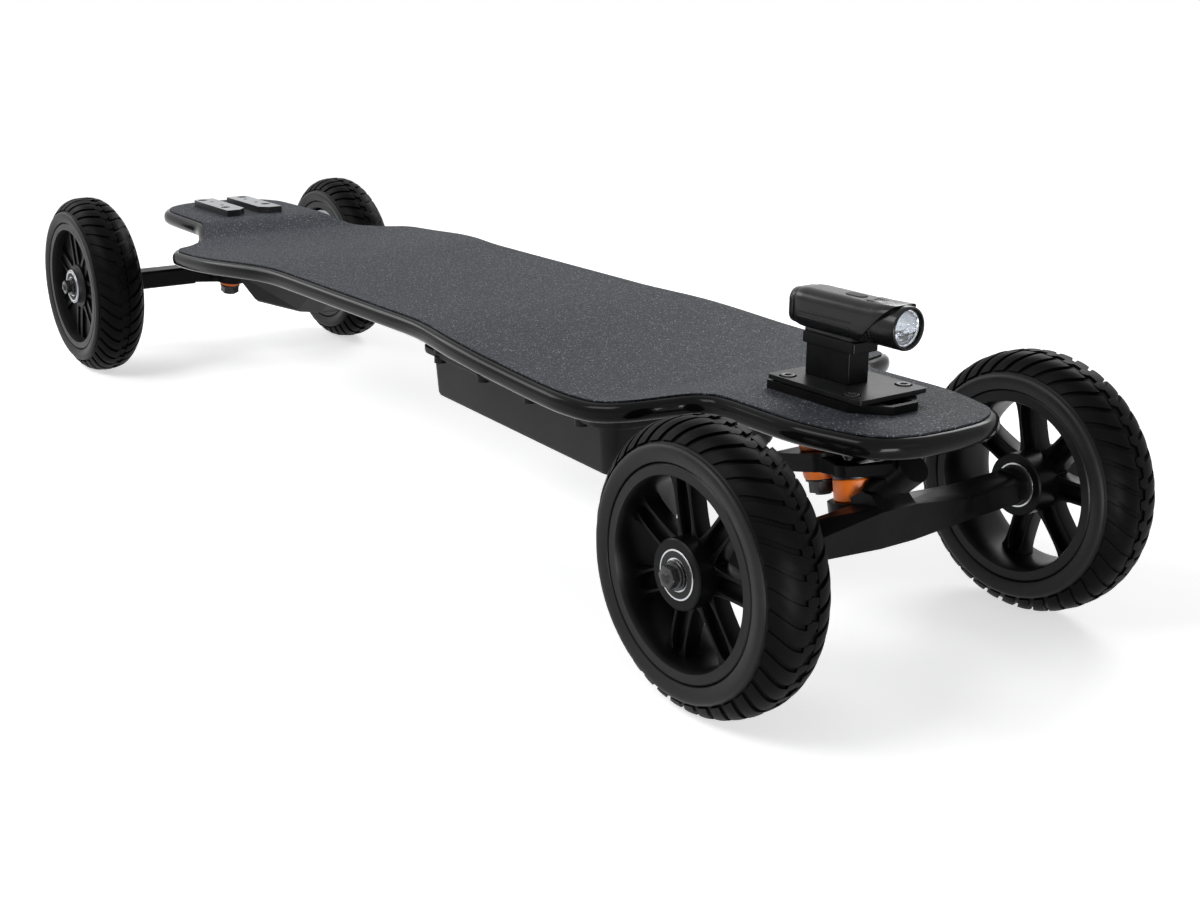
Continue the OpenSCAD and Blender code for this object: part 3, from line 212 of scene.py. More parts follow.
def spread(tree, value, low, high, fromLow=0.3, fromHigh=0.7):
    span = tree.nodes.new("ShaderNodeMapRange")
    span.inputs["From Min"].default_value = fromLow
    span.inputs["From Max"].default_value = fromHigh
    span.inputs["To Min"].default_value = low
    span.inputs["To Max"].default_value = high
    tree.links.new(value, span.inputs["Value"])
    return span.outputs["Result"]


def blendColours(tree, factor, first, second):
    mix = tree.nodes.new("ShaderNodeMix")
    mix.data_type = "RGBA"
    tree.links.new(factor, mix.inputs["Factor"])
    for socket, colour in ((mix.inputs[6], first), (mix.inputs[7], second)):
        if isinstance(colour, tuple):
            socket.default_value = (*colour, 1)
        else:
            tree.links.new(colour, socket)
    return mix.outputs[2]


def bumpFrom(tree, shader, height, strength, distance):
    bump = tree.nodes.new("ShaderNodeBump")
    bump.inputs["Strength"].default_value = strength
    bump.inputs["Distance"].default_value = distance
    tree.links.new(height, bump.inputs["Height"])
    tree.links.new(bump.outputs["Normal"], shader.inputs["Normal"])


def workedFinish(name, dark, light, rough, grain, bump, patches=18.0, metallic=0.0, coat=0.0, stretch=(1, 1, 1),
                 specular=0.5):
    # dark and light: the two tones, rough: (lowest, highest), grain: texture scale, bump: (strength, height)
    material, tree, shader = newShader(name)
    vector = ownCoordinates(tree, stretch)
    wide = cloud(tree, vector, patches, 4.0, 0.6)
    fine = cloud(tree, vector, grain, 2.0, 0.6)
    tone = blendColours(tree, spread(tree, wide, 0.0, 1.0, 0.35, 0.65), dark, light)
    speckled = blendColours(tree, spread(tree, fine, 0.0, 0.22, 0.45, 0.75), tone, light)
    tree.links.new(speckled, shader.inputs["Base Color"])
    tree.links.new(spread(tree, wide, *rough), shader.inputs["Roughness"])
    bumpFrom(tree, shader, fine, *bump)
    shader.inputs["Metallic"].default_value = metallic
    shader.inputs["Specular IOR Level"].default_value = specular
    if coat:
        shader.inputs["Coat Weight"].default_value = coat
        shader.inputs["Coat Roughness"].default_value = 0.08
    return material


def topped(material, level, tone):
    # Gives everything above a level a paler tone
    tree = material.node_tree
    shader = tree.nodes["Principled BSDF"]
    height = tree.nodes.new("ShaderNodeSeparateXYZ")
    tree.links.new(tree.nodes.new("ShaderNodeTexCoord").outputs["Object"], height.inputs[0])
    above = spread(tree, height.outputs["Z"], 0.0, 1.0, level - 0.00005, level + 0.00005)
    under = shader.inputs["Base Color"].links[0].from_socket
    tree.links.new(blendColours(tree, above, under, tone), shader.inputs["Base Color"])
    return material


gripGrains = {
    "scale": 1500,
    "base": ((0.0125, 0.0145, 0.0190), (0.0185, 0.0205, 0.0260)),  # darker and lighter patches
    "grit": ((0.056, 0.062, 0.075), 0.7),  # tone of the paler grains and how far they take it
    "spark": ((0.40, 0.42, 0.46), 0.8, (0.94, 0.995)),  # the same for the painted glints of bright facets, and how few they are
    "rough": (0.5, 0.85),
    "specular": 0.16,
    "bump": (0.45, 0.0003),
}


def gripFinish(settings):
    # Fine silicon grit: dark slate grains, with painted glints of bright facets here and there
    material, tree, shader = newShader("gritGrip")
    vector = ownCoordinates(tree)
    grain = tree.nodes.new("ShaderNodeTexVoronoi")
    grain.inputs["Scale"].default_value = settings["scale"]
    tree.links.new(vector, grain.inputs["Vector"])
    shade = tree.nodes.new("ShaderNodeSeparateColor")
    tree.links.new(grain.outputs["Color"], shade.inputs["Color"])
    gritTone, gritShare = settings["grit"]
    glintTone, glintShare, glintRange = settings["spark"]
    base = blendColours(tree, spread(tree, cloud(tree, vector, 7.0), 0.0, 1.0), *settings["base"])
    grit = blendColours(tree, spread(tree, shade.outputs[0], 0.0, gritShare, 0.3, 1.0), base, gritTone)
    # Painted glints: a few grains take a bright tone
    spark = blendColours(tree, spread(tree, shade.outputs[1], 0.0, glintShare, *glintRange), grit, glintTone)
    tree.links.new(spark, shader.inputs["Base Color"])
    tree.links.new(spread(tree, shade.outputs[2], *settings["rough"], 0.0, 1.0), shader.inputs["Roughness"])
    shader.inputs["Specular IOR Level"].default_value = settings["specular"]
    bumpFrom(tree, shader, grain.outputs["Distance"], *settings["bump"])
    return material


def reachFromAxle(tree, vector):
    # Distance of a point from the nearest axle
    parts = tree.nodes.new("ShaderNodeSeparateXYZ")
    tree.links.new(vector, parts.inputs[0])
    flat = tree.nodes.new("ShaderNodeMath")
    flat.operation = "ABSOLUTE"
    tree.links.new(parts.outputs["X"], flat.inputs[0])
    arm = tree.nodes.new("ShaderNodeCombineXYZ")
    for value, centre, socket in ((flat.outputs[0], wheelSize["wheelbase"] / 2, "X"),
                                  (parts.outputs["Z"], wheelSize["axleHeight"], "Z")):
        shift = tree.nodes.new("ShaderNodeMath")
        shift.operation = "SUBTRACT"
        shift.inputs[1].default_value = centre * mm
        tree.links.new(value, shift.inputs[0])
        tree.links.new(shift.outputs[0], arm.inputs[socket])
    length = tree.nodes.new("ShaderNodeVectorMath")
    length.operation = "LENGTH"
    tree.links.new(arm.outputs[0], length.inputs[0])
    return length.outputs["Value"]


wheelFinishes = {
    # Each has one pair of tones near the axle and another beyond the two reaches of its turn, in metres; the step
    # between the pairs is painted light and shade
    "tyreRubber": {
        "near": ((0.0072, 0.0072, 0.0076), (0.0125, 0.0125, 0.0129)),  # sidewall, greyer than the tread as painted light, with dusty mottling
        "beyond": ((0.0012, 0.0012, 0.0013), (0.0030, 0.0030, 0.0031)),  # tread, blacker as painted shade
        "turn": (0.0695, 0.0712),
        "specular": (0.18, 0.045),
        "rough": (0.38, 0.52),
        "patches": (28.0, 5.0, 0.6),
        "grain": (900.0, 3.0, 0.7),
        "bump": (0.25, 0.0002),
    },
    "rimPaint": {
        "near": ((0.0014, 0.0014, 0.0015), (0.0032, 0.0032, 0.0034)),  # painted shade: black inside the barrel
        "beyond": ((0.0064, 0.0064, 0.0067), (0.0108, 0.0108, 0.0112)),  # its lips
        "turn": (0.0525, 0.0534),
        "specular": (0.09, 0.15),
        "rough": (0.30, 0.42),
        "patches": (40.0, 3.0, 0.5),
        "grain": (900.0, 2.0, 0.5),
        "bump": (0.12, 0.0002),
    },
}


def wheelFinish(name, settings):
    material, tree, shader = newShader(name)
    vector = ownCoordinates(tree)
    wide = cloud(tree, vector, *settings["patches"])
    fine = cloud(tree, vector, *settings["grain"])
    wear = spread(tree, wide, 0.0, 1.0)
    near, beyond = (blendColours(tree, wear, *settings[part]) for part in ("near", "beyond"))
    reach = reachFromAxle(tree, vector)
    # Painted light and shade: the tones step from near to beyond at the turn
    tone = blendColours(tree, spread(tree, reach, 0.0, 1.0, *settings["turn"]), near, beyond)
    tree.links.new(tone, shader.inputs["Base Color"])
    tree.links.new(spread(tree, wide, *settings["rough"]), shader.inputs["Roughness"])
    specular = spread(tree, reach, *settings["specular"], *settings["turn"])
    shader.inputs["Specular IOR Level"].default_value = sum(settings["specular"]) / 2  # where the link is dropped
    tree.links.new(specular, shader.inputs["Specular IOR Level"])
    bumpFrom(tree, shader, fine, *settings["bump"])
    return material


urethane = {
    "tones": ((0.95, 0.190, 0.014), (1.0, 0.245, 0.024)),
    "rough": (0.36, 0.5),
    "bump": (0.15, 0.0001),
    "glow": (0.15, 0.004),  # share of the light that goes into it, and how deep
}


def urethaneFinish(settings):
    material, tree, shader = newShader("orangeUrethane")
    vector = ownCoordinates(tree)
    wide = cloud(tree, vector, 60.0)
    fine = cloud(tree, vector, 1200.0, 2.0)
    tone = blendColours(tree, spread(tree, wide, 0.0, 1.0), *settings["tones"])
    tree.links.new(tone, shader.inputs["Base Color"])
    tree.links.new(spread(tree, wide, *settings["rough"]), shader.inputs["Roughness"])
    bumpFrom(tree, shader, fine, *settings["bump"])
    share, depth = settings["glow"]
    shader.inputs["Subsurface Weight"].default_value = share
    shader.inputs["Subsurface Scale"].default_value = depth
    return material


lens = {"tone": (0.96, 0.98, 1.0, 1), "rough": (0.015, 0.05), "index": 1.46}


def lensFinish(settings):
    material, tree, shader = newShader("clearLens")
    vector = ownCoordinates(tree)
    shader.inputs["Base Color"].default_value = settings["tone"]
    tree.links.new(spread(tree, cloud(tree, vector, 300.0), *settings["rough"]), shader.inputs["Roughness"])
    shader.inputs["Transmission Weight"].default_value = 1.0
    shader.inputs["IOR"].default_value = settings["index"]
    return material


reflector = {
    "facets": 420,
    "tones": ((0.92, 0.93, 0.95), (0.78, 0.80, 0.84)),
    "rough": (0.06, 0.22),
    "bump": (0.5, 0.0006),
}


def reflectorFinish(settings):
    material, tree, shader = newShader("facetedReflector")
    vector = ownCoordinates(tree)
    facets = tree.nodes.new("ShaderNodeTexVoronoi")
    facets.inputs["Scale"].default_value = settings["facets"]
    tree.links.new(vector, facets.inputs["Vector"])
    depth = facets.outputs["Distance"]
    tree.links.new(blendColours(tree, depth, *settings["tones"]), shader.inputs["Base Color"])
    shader.inputs["Metallic"].default_value = 1.0
    tree.links.new(spread(tree, depth, *settings["rough"], 0.0, 0.6), shader.inputs["Roughness"])
    bumpFrom(tree, shader, depth, *settings["bump"])
    return material


plainFinishes = {
    # name: (darker tone, lighter tone, (lowest, highest roughness), grain, bump (strength, height), the rest)
    "glossDeck": ((0.0028, 0.0028, 0.0031), (0.0055, 0.0055, 0.0059), (0.12, 0.20), 300, (0.04, 0.0002),
                  {"patches": 9, "coat": 0.03, "specular": 0.08}),
    "blackCasting": ((0.0032, 0.0032, 0.0034), (0.0068, 0.0068, 0.0072), (0.26, 0.38), 700, (0.12, 0.0002),
                     {"patches": 35, "specular": 0.07}),
    "boxPlastic": ((0.0130, 0.0130, 0.0134), (0.0182, 0.0182, 0.0187), (0.44, 0.55), 1500, (0.2, 0.0002),
                   {"patches": 12, "specular": 0.14}),
    "lightShell": ((0.0035, 0.0035, 0.0037), (0.0065, 0.0065, 0.0068), (0.20, 0.30), 800, (0.08, 0.0001),
                   {"patches": 50, "specular": 0.26}),
    "plateAnodised": ((0.0060, 0.0062, 0.0067), (0.0110, 0.0114, 0.0120), (0.30, 0.42), 1400, (0.12, 0.0001),
                      {"patches": 30, "metallic": 0.03, "specular": 0.13}),
    "postPaint": ((0.0022, 0.0022, 0.0024), (0.0045, 0.0045, 0.0048), (0.24, 0.34), 900, (0.1, 0.0001),
                  {"patches": 50, "specular": 0.09}),
    "softRubber": ((0.008, 0.008, 0.008), (0.014, 0.014, 0.014), (0.60, 0.75), 1100, (0.2, 0.0001),
                   {"specular": 0.35}),
    "darkSteel": ((0.020, 0.020, 0.021), (0.045, 0.045, 0.047), (0.28, 0.42), 1200, (0.1, 0.0001),
                  {"patches": 90, "metallic": 0.9}),
    "blackSteel": ((0.0055, 0.0055, 0.0058), (0.0120, 0.0120, 0.0125), (0.18, 0.30), 1200, (0.1, 0.0001),
                   {"patches": 90}),
    "brightSteel": ((0.42, 0.43, 0.45), (0.62, 0.63, 0.65), (0.22, 0.34), 1600, (0.08, 0.0001),
                    {"patches": 80, "metallic": 1.0, "stretch": (1, 0.15, 1)}),
    "railAluminium": ((0.012, 0.012, 0.013), (0.024, 0.024, 0.026), (0.30, 0.42), 1400, (0.1, 0.0001),
                      {"patches": 60, "metallic": 0.5, "stretch": (0.2, 1, 1)}),
    "motorSteel": ((0.260, 0.265, 0.280), (0.360, 0.365, 0.380), (0.30, 0.42), 1500, (0.1, 0.0001),
                   {"patches": 40, "metallic": 1.0}),
    "copperCoil": ((0.42, 0.17, 0.07), (0.58, 0.27, 0.12), (0.28, 0.40), 1100, (0.5, 0.0003),
                   {"patches": 60, "metallic": 1.0, "stretch": (1, 4, 1)}),
    "cellWrap": ((0.03, 0.16, 0.21), (0.05, 0.22, 0.28), (0.22, 0.32), 900, (0.06, 0.0001), {}),
    "boardGreen": ((0.010, 0.075, 0.032), (0.016, 0.105, 0.045), (0.35, 0.50), 700, (0.3, 0.0002), {}),
    "heatSink": ((0.30, 0.31, 0.32), (0.40, 0.41, 0.43), (0.35, 0.50), 1300, (0.15, 0.0001),
                 {"metallic": 0.95, "stretch": (1, 0.2, 1)}),
    "ledResin": ((0.62, 0.52, 0.16), (0.80, 0.72, 0.30), (0.18, 0.30), 1500, (0.1, 0.0001), {"patches": 200}),
}
railTops = {"level": 0.1553, "tone": (0.36, 0.37, 0.38)}

print("finishes")
finish = {name: workedFinish(name, *row[:-1], **row[-1]) for name, row in plainFinishes.items()}
finish.update({name: wheelFinish(name, settings) for name, settings in wheelFinishes.items()})
finish.update({"gritGrip": gripFinish(gripGrains), "orangeUrethane": urethaneFinish(urethane),
               "clearLens": lensFinish(lens), "facetedReflector": reflectorFinish(reflector)})
topped(finish["railAluminium"], **railTops)

finishOf = {
    "deck_board": "glossDeck", "grip_tape": "gritGrip", "riser_pads": "softRubber", "truck_bolts": "darkSteel",
    "battery_tub": "boxPlastic", "battery_lid": "boxPlastic", "battery_cells": "cellWrap",
    "battery_board": "boardGreen", "box_screws": "darkSteel", "controller_cover": "boxPlastic",
    "controller_board": "heatSink", "charge_socket": "softRubber", "charge_cap": "softRubber",
    "power_button": "lightShell", "rear_rails": "railAluminium", "light_block": "blackCasting",
    "light_plate": "plateAnodised", "light_post": "postPaint", "light_body": "lightShell",
    "light_tail_cap": "lightShell", "light_bezel": "lightShell", "light_reflector": "facetedReflector",
    "light_lens": "clearLens", "light_led": "ledResin", "light_button": "softRubber", "rear_stators": "copperCoil",
}
for end in ("front", "rear"):
    for part, name in (("baseplate", "blackCasting"), ("link", "blackCasting"), ("hanger", "blackCasting"),
                       ("inner_kingpin", "darkSteel"), ("outer_kingpin", "darkSteel"), ("axle", "darkSteel"),
                       ("inner_bushings", "orangeUrethane"), ("outer_bushings", "orangeUrethane"),
                       ("axle_nuts", "blackSteel")):
        finishOf[end + "_" + part] = name
    for side in ("left", "right"):
        for part, name in (("tyre", "tyreRubber"), ("rim", "rimPaint"), ("bearings", "brightSteel")):
            finishOf[f"{end}_{side}_{part}"] = name
        if end == "rear":
            finishOf[f"{end}_{side}_motor_can"] = "motorSteel"


def dressNode(name, material):
    data = nodes[name].data
    if not data.materials:
        data.materials.append(material)
    for slot in nodes[name].material_slots:
        slot.material = material


for node, name in finishOf.items():
    dressNode(node, finish[name])

bodyOf = {member: body for body, members in frame["record"]["behaviour"]["bodies"].items() for member in members}

# Modelling helpers


def clearSelection():
    bpy.ops.object.select_all(action="DESELECT")


def pick(piece):
    clearSelection()
    piece.select_set(True)
    bpy.context.view_layer.objects.active = piece


def inEditMode(piece, work):
    pick(piece)
    bpy.ops.object.mode_set(mode="EDIT")
    bpy.ops.mesh.select_all(action="SELECT")
    work()
    bpy.ops.object.mode_set(mode="OBJECT")


def closeUp():
    bpy.ops.mesh.remove_doubles(threshold=0.00001)
    bpy.ops.mesh.normals_make_consistent(inside=False)


def turned(name, profile, steps=96):
    # A closed profile of (radius, height) in mm, spun round Z
    bpy.ops.mesh.primitive_circle_add(vertices=len(profile), radius=0.01)
    piece = bpy.context.object
    piece.name = name
    for vertex, (r, z) in zip(piece.data.vertices, profile):
        vertex.co = (r * mm, 0, z * mm)

    def work():
        bpy.ops.mesh.spin(steps=steps, angle=math.tau, center=(0, 0, 0), axis=(0, 0, 1))
        closeUp()

    inEditMode(piece, work)
    return piece


def applyModifier(piece, kind, **values):
    pick(piece)
    modifier = piece.modifiers.new(kind.title(), kind)
    for key, value in values.items():
        setattr(modifier, key, value)
    bpy.ops.object.modifier_apply(modifier=modifier.name)


def softenEdges(piece, width, segments=2, angle=30):
    applyModifier(piece, "BEVEL", width=width, segments=segments, limit_method="ANGLE",
                  angle_limit=math.radians(angle), harden_normals=False)


def smooth(piece, angle=35):
    pick(piece)
    bpy.ops.object.shade_smooth_by_angle(angle=math.radians(angle))


def copyOf(piece, name, matrix=None):
    copy = bpy.data.objects.new(name, piece.data.copy())
    bpy.context.scene.collection.objects.link(copy)
    if matrix is not None:
        copy.data.transform(matrix)
    return copy


def softBox(size, place, bevel):
    bpy.ops.mesh.primitive_cube_add(size=1, location=[value * mm for value in place])
    box = bpy.context.object
    box.scale = [value * mm for value in size]
    bpy.ops.object.transform_apply(location=True, rotation=True, scale=True)
    softenEdges(box, bevel * mm, 2, 40)
    return box


def dropForms(*pieces):
    for piece in pieces:
        bpy.data.objects.remove(piece)


def joined(pieces, name):
    clearSelection()
    for piece in pieces:
        piece.select_set(True)
    bpy.context.view_layer.objects.active = pieces[0]
    bpy.ops.object.join()
    pieces[0].name = name
    return pieces[0]


def pieceName(node):
    first, *rest = node.split("_")
    return first + "".join(word.title() for word in rest)


def mount(piece, body, material, angle=35):
    # Last step for each piece: its place goes into its mesh, then it rides on its body
    pick(piece)
    bpy.ops.object.transform_apply(location=True, rotation=True, scale=True)
    smooth(piece, angle)
    piece.data.materials.clear()
    piece.data.materials.append(material)
    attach(piece, body)
    clearSelection()


def standFor(piece, node, angle=35):
    piece.name = pieceName(node)
    mount(piece, bodyOf[node], finish[finishOf[node]], angle)
    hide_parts(node)


def refined(node, bevel=0.0, segments=2, bevelAngle=30, angle=35, merged=1.0):
    # The solid itself with its triangles merged, its edges softened and its curves shaded smooth
    piece = copyOf(nodes[node], "softened")
    piece.parent = None

    def work():
        closeUp()
        if merged:
            bpy.ops.mesh.dissolve_limited(angle_limit=math.radians(merged))

    inEditMode(piece, work)
    if bevel:
        softenEdges(piece, bevel * mm, segments, bevelAngle)
    standFor(piece, node, angle)
    applyModifier(piece, "WEIGHTED_NORMAL", keep_sharp=True)
    clearSelection()


# Wheels

ends = {"front": 1, "rear": -1}
sides = {"left": 1, "right": -1}
wheels = [(end, side) for end in ends for side in sides]


def axlePlace(end, side, out=0.0):
    # Lays an upright form along the axle, pointing outwards, this far from the middle of the board
    x = ends[end] * wheelSize["wheelbase"] / 2
    turn = Matrix.Rotation(math.radians(-90 * sides[side]), 4, "X")
    return Matrix.Translation((x * mm, sides[side] * out * mm, wheelSize["axleHeight"] * mm)) @ turn


def wheelPlace(end, side):
    return axlePlace(end, side, wheelSize["track"] / 2)


tyreForm = {
    "crown": (16.3, 3.1),  # how far the profile falls from the centre to the edge, and by which power
    "sidewall": ((60.45, 20.6), (60.5, 21.3), (60.75, 21.75), (61.3, 22.0), (64.0, 22.9), (66.5, 23.35),
                 (68.2, 23.2), (69.4, 22.55), (70.2, 21.75), (70.5, 21.1)),  # radius and offset
    "grooveOffsets": (20.4, 19.4, 18, 15.5, 12.5, 9.5, 6.5, 4, 1.5),
    "depth": (1.4, 2.6),  # of the grooves, at the centre and from the full offset on
    "fullOffset": 9,
    "steps": 160,
    "pitches": 40,
    "ridgeShare": (0.74, 0.66),  # width of a ridge as a share of the pitch, at the centre and at the shoulder
    "shoulder": 20.5,  # offset at which the tread ends
    "inner": (0.9, 4.4),  # where the ridges end beside the centre line, on the wheel's outer and inner side
    "sweep": 9.5,  # degrees that a ridge lags between centre and shoulder
    "bow": 2.3,
    "ridgeLift": -0.25,
    "stud": (3.7, 0.52, 0.26),  # half length of a centre stud, its share of the pitch in the middle and at its ends
    "blockDepth": 2.8,
    "edgeDrop": 0.18,
}


def crown(settings, offset):
    fall, power = settings["crown"]
    return wheelSize["tyreRadius"] - fall * min(1.0, abs(offset) / wheelSize["halfWidth"]) ** power


def treadPoint(settings, way, offset, degrees, lift):
    share = abs(offset) / settings["shoulder"]
    swept = degrees + way * (settings["sweep"] * share - settings["bow"] * math.sin(math.pi * share))
    r = (crown(settings, offset) + lift) * mm
    return (r * math.cos(math.radians(swept)), r * math.sin(math.radians(swept)), offset * mm)


def treadBlock(settings, way, span, widthAt, lift, cells):
    # A grid laid on the crown between two offsets, then thickened inwards
    bpy.ops.mesh.primitive_grid_add(x_subdivisions=cells[0], y_subdivisions=cells[1], size=1)
    block = bpy.context.object
    low, high = span
    for vertex in block.data.vertices:
        offset = low + (high - low) * (vertex.co.y + 0.5)
        onEdge = max(abs(vertex.co.x), abs(vertex.co.y)) > 0.49
        drop = settings["edgeDrop"] if onEdge else 0.0
        vertex.co = treadPoint(settings, way, offset, vertex.co.x * widthAt(offset), lift - drop)

    def work():
        depth = -settings["blockDepth"] * mm
        bpy.ops.mesh.normals_make_consistent(inside=False)
        bpy.ops.mesh.extrude_region_shrink_fatten(TRANSFORM_OT_shrink_fatten={"value": depth})
        bpy.ops.mesh.select_all(action="SELECT")
        closeUp()

    inEditMode(block, work)
    return block


def tyreBody(settings):
    shallow, deep = settings["depth"]
    tread = [(crown(settings, o) - min(deep, shallow + (deep - shallow) * o / settings["fullOffset"]), o)
             for o in settings["grooveOffsets"]]
    half = list(settings["sidewall"]) + tread
    return turned("tyreBody", half + [(r, -z) for r, z in reversed(half)], settings["steps"])


def buildTyre(settings, way):
    pitch = 360 / settings["pitches"]
    centreShare, shoulderShare = settings["ridgeShare"]
    studReach, studShare, studEnd = settings["stud"]

    def ridgeWidth(offset):
        return pitch * (centreShare + (shoulderShare - centreShare) * (offset / settings["shoulder"]) ** 2)

    def studWidth(offset):
        return pitch * (studShare - (studShare - studEnd) * abs(offset) / studReach)

    stud = treadBlock(settings, way, (-studReach, studReach), studWidth, 0.0, (2, 4))
    outerRidge, innerRidge = (
        treadBlock(settings, way, (face * start, face * settings["shoulder"]), ridgeWidth,
                   settings["ridgeLift"], (3, 9))
        for face, start in zip((1, -1), settings["inner"]))
    parts = [tyreBody(settings)]
    for i in range(settings["pitches"]):
        whole, half = (Matrix.Rotation(math.radians(pitch * (i + more)), 4, "Z") for more in (0, 0.5))
        parts += [copyOf(outerRidge, "ridge", whole), copyOf(innerRidge, "ridge", half), copyOf(stud, "stud", half)]
    dropForms(stud, outerRidge, innerRidge)
    return joined(parts, "tyre")


print("tyres")
tyres = {side: buildTyre(tyreForm, -sides[side]) for side in sides}
for end, side in wheels:
    standFor(copyOf(tyres[side], "tyre", wheelPlace(end, side)), f"{end}_{side}_tyre", 28)
dropForms(*tyres.values())

# Front rims

rimForm = {
    "lip": (53.7, 60.2, 21.5),  # inner and outer radius and half width of the barrel
    "lipEdge": 1.2,
    "wall": 51.2,
    "wallEnds": (14, 10),  # how far inside the inner and the outer face the narrow part of the barrel starts
    "hub": (19.7, 11.5, 14.02),  # radius, bore and seat of the bearings
    "hubReach": (-16.8, 21.2),
    "hubEdge": 0.8,
    "seatDepth": 8,
    "pairs": 7,
    "spread": 11.5,  # between the two ribs of a pair
    "rib": (0.0, 11.0, 1.0),  # from, to, half width
    "ribEdge": 0.6,
    "flare": (1.9, 4.5, 2.6, 4.0),  # growth at the hub and its length, then at the barrel
    "web": (4.6, 6.6),
}


def rimRib(settings, side):
    # One rib in plan, slimmer in the middle and flared at both ends, pushed up along the wheel's axis
    low, high, half = settings["rib"]
    hubGrow, hubLength, wallGrow, wallLength = settings["flare"]
    start, stop = settings["hub"][0] - 2.0, settings["wall"] + 0.6
    bpy.ops.mesh.primitive_grid_add(x_subdivisions=16, y_subdivisions=1, size=1)
    rib = bpy.context.object
    for vertex in rib.data.vertices:
        x = start + (stop - start) * (vertex.co.x + 0.5)
        grown = half + hubGrow * math.exp((start - x) / hubLength) + wallGrow * math.exp((x - stop) / wallLength)
        y = side * settings["spread"] / 2 + grown * (1 if vertex.co.y > 0 else -1)
        vertex.co = (x * mm, y * mm, low * mm)

    def work():
        bpy.ops.mesh.extrude_region_move(TRANSFORM_OT_translate={"value": (0, 0, (high - low) * mm)})
        bpy.ops.mesh.select_all(action="SELECT")
        closeUp()

    inEditMode(rib, work)
    softenEdges(rib, settings["ribEdge"] * mm, 3, 50)
    return rib


def frontRim(settings):
    inner, outer, half = settings["lip"]
    edge, wall = settings["lipEdge"], settings["wall"]
    innerEnd, outerEnd = settings["wallEnds"]
    barrel = turned("barrel", [
        (inner, half), (inner + 0.4, half - 0.02), (outer - edge, half), (outer, half - edge), (outer, edge - half),
        (outer - edge, -half), (inner, -half), (inner - 0.6, 0.8 - half), (wall, innerEnd - half),
        (wall, half - outerEnd), (inner - 0.5, half - 1.0)
    ], 128)
    radius, bore, seat = settings["hub"]
    low, high = settings["hubReach"]
    edge, depth = settings["hubEdge"], settings["seatDepth"]
    hub = turned("hub", [
        (seat, high), (radius - edge, high), (radius, high - edge), (radius, low + edge), (radius - edge, low),
        (seat, low), (seat, low + depth), (bore, low + depth), (bore, high - depth), (seat, high - depth)
    ], 96)
    webLow, webHigh = settings["web"]
    web = softBox((wall - radius + 3, settings["spread"], webHigh - webLow),
                  ((radius + wall) / 2, 0, (webLow + webHigh) / 2), 0.2)
    forms = (rimRib(settings, 1), rimRib(settings, -1), web)
    parts = [barrel, hub]
    for i in range(settings["pairs"]):
        turn = Matrix.Rotation(math.tau * i / settings["pairs"], 4, "Z")
        parts += [copyOf(form, "spoke", turn) for form in forms]
    dropForms(*forms)
    return joined(parts, "rim")


print("front rims")
rimPiece = frontRim(rimForm)
for side in sides:
    standFor(copyOf(rimPiece, "rim", wheelPlace("front", side)), f"front_{side}_rim")
dropForms(rimPiece)

# Hubs, axles and nuts

bearingSeal = {"inner": 9.3, "outer": 13.0, "proud": 0.12, "base": 0.6, "groove": 0.12, "edge": 0.1}


def sealRing(settings, face, outwards):
    low, high, edge = settings["inner"], settings["outer"], settings["edge"] * outwards
    top = face + settings["proud"] * outwards
    base = face - settings["base"] * outwards
    return turned("sealRing", [(low, base), (low, top - edge), (low + 0.3, top),
                               ((low + high) / 2, top - settings["groove"] * outwards),
                               (high - 0.3, top), (high, top - edge), (high, base)], 64)


axleForm = {
    "radius": 5.95,
    "neck": 3.6,  # radius of the threaded end
    "halfLength": 161.9,
    "threadFrom": 153.4,
    "pitch": 1.25,
    "threadDepth": 0.5,
}


def axleProfile(settings):
    r, body, end = settings["neck"], settings["radius"], settings["halfLength"]
    root = r - settings["threadDepth"]
    z = settings["threadFrom"]
    points = [(0.001, 0), (body, 0), (body, z - 1.2), (r, z - 0.6)]
    while z + settings["pitch"] < end - 0.8:
        points += [(root, z), (r, z + settings["pitch"] / 2)]
        z += settings["pitch"]
    return points + [(root, z), (root, end - 0.8), (root - 0.6, end - 0.2), (root - 1.6, end), (0.001, end)]


print("hubs and axles")
innerFace, outerFace = rimForm["hubReach"]
for end, side in wheels:
    rings = [sealRing(bearingSeal, outerFace, 1)]
    if end == "front":
        rings.append(sealRing(bearingSeal, innerFace, -1))
    for ring in rings:
        ring.data.transform(wheelPlace(end, side))
    seals = joined(rings, end + side.title() + "BearingSeals")
    mount(seals, f"{end}_{side}_wheel", finish["softRubber"])

for end in ends:
    halves = []
    for side in sides:
        half = turned("axleHalf", axleProfile(axleForm), 64)
        half.data.transform(axlePlace(end, side))
        halves.append(half)
    standFor(joined(halves, "axle"), end + "_axle")


def column(corners, radius, low, high):
    bpy.ops.mesh.primitive_cylinder_add(vertices=corners, radius=radius * mm, depth=(high - low) * mm,
                                        location=(0, 0, (low + high) / 2 * mm))
    bpy.ops.object.transform_apply(location=True)
    return bpy.context.object


def hexagon(across, low, high, bevel, segments):
    piece = column(6, across / 2 / math.cos(math.pi / 6), low, high)
    softenEdges(piece, bevel * mm, segments, 40)
    return piece


axleNut = {
    "face": 153.55,
    "bore": 3.7,
    "washer": (8.4, 1.1),  # radius and thickness
    "flange": (7.0, 1.0),
    "across": 11.6,
    "height": 4.6,
    "turn": (17, -10),  # degrees, by end and by side
}


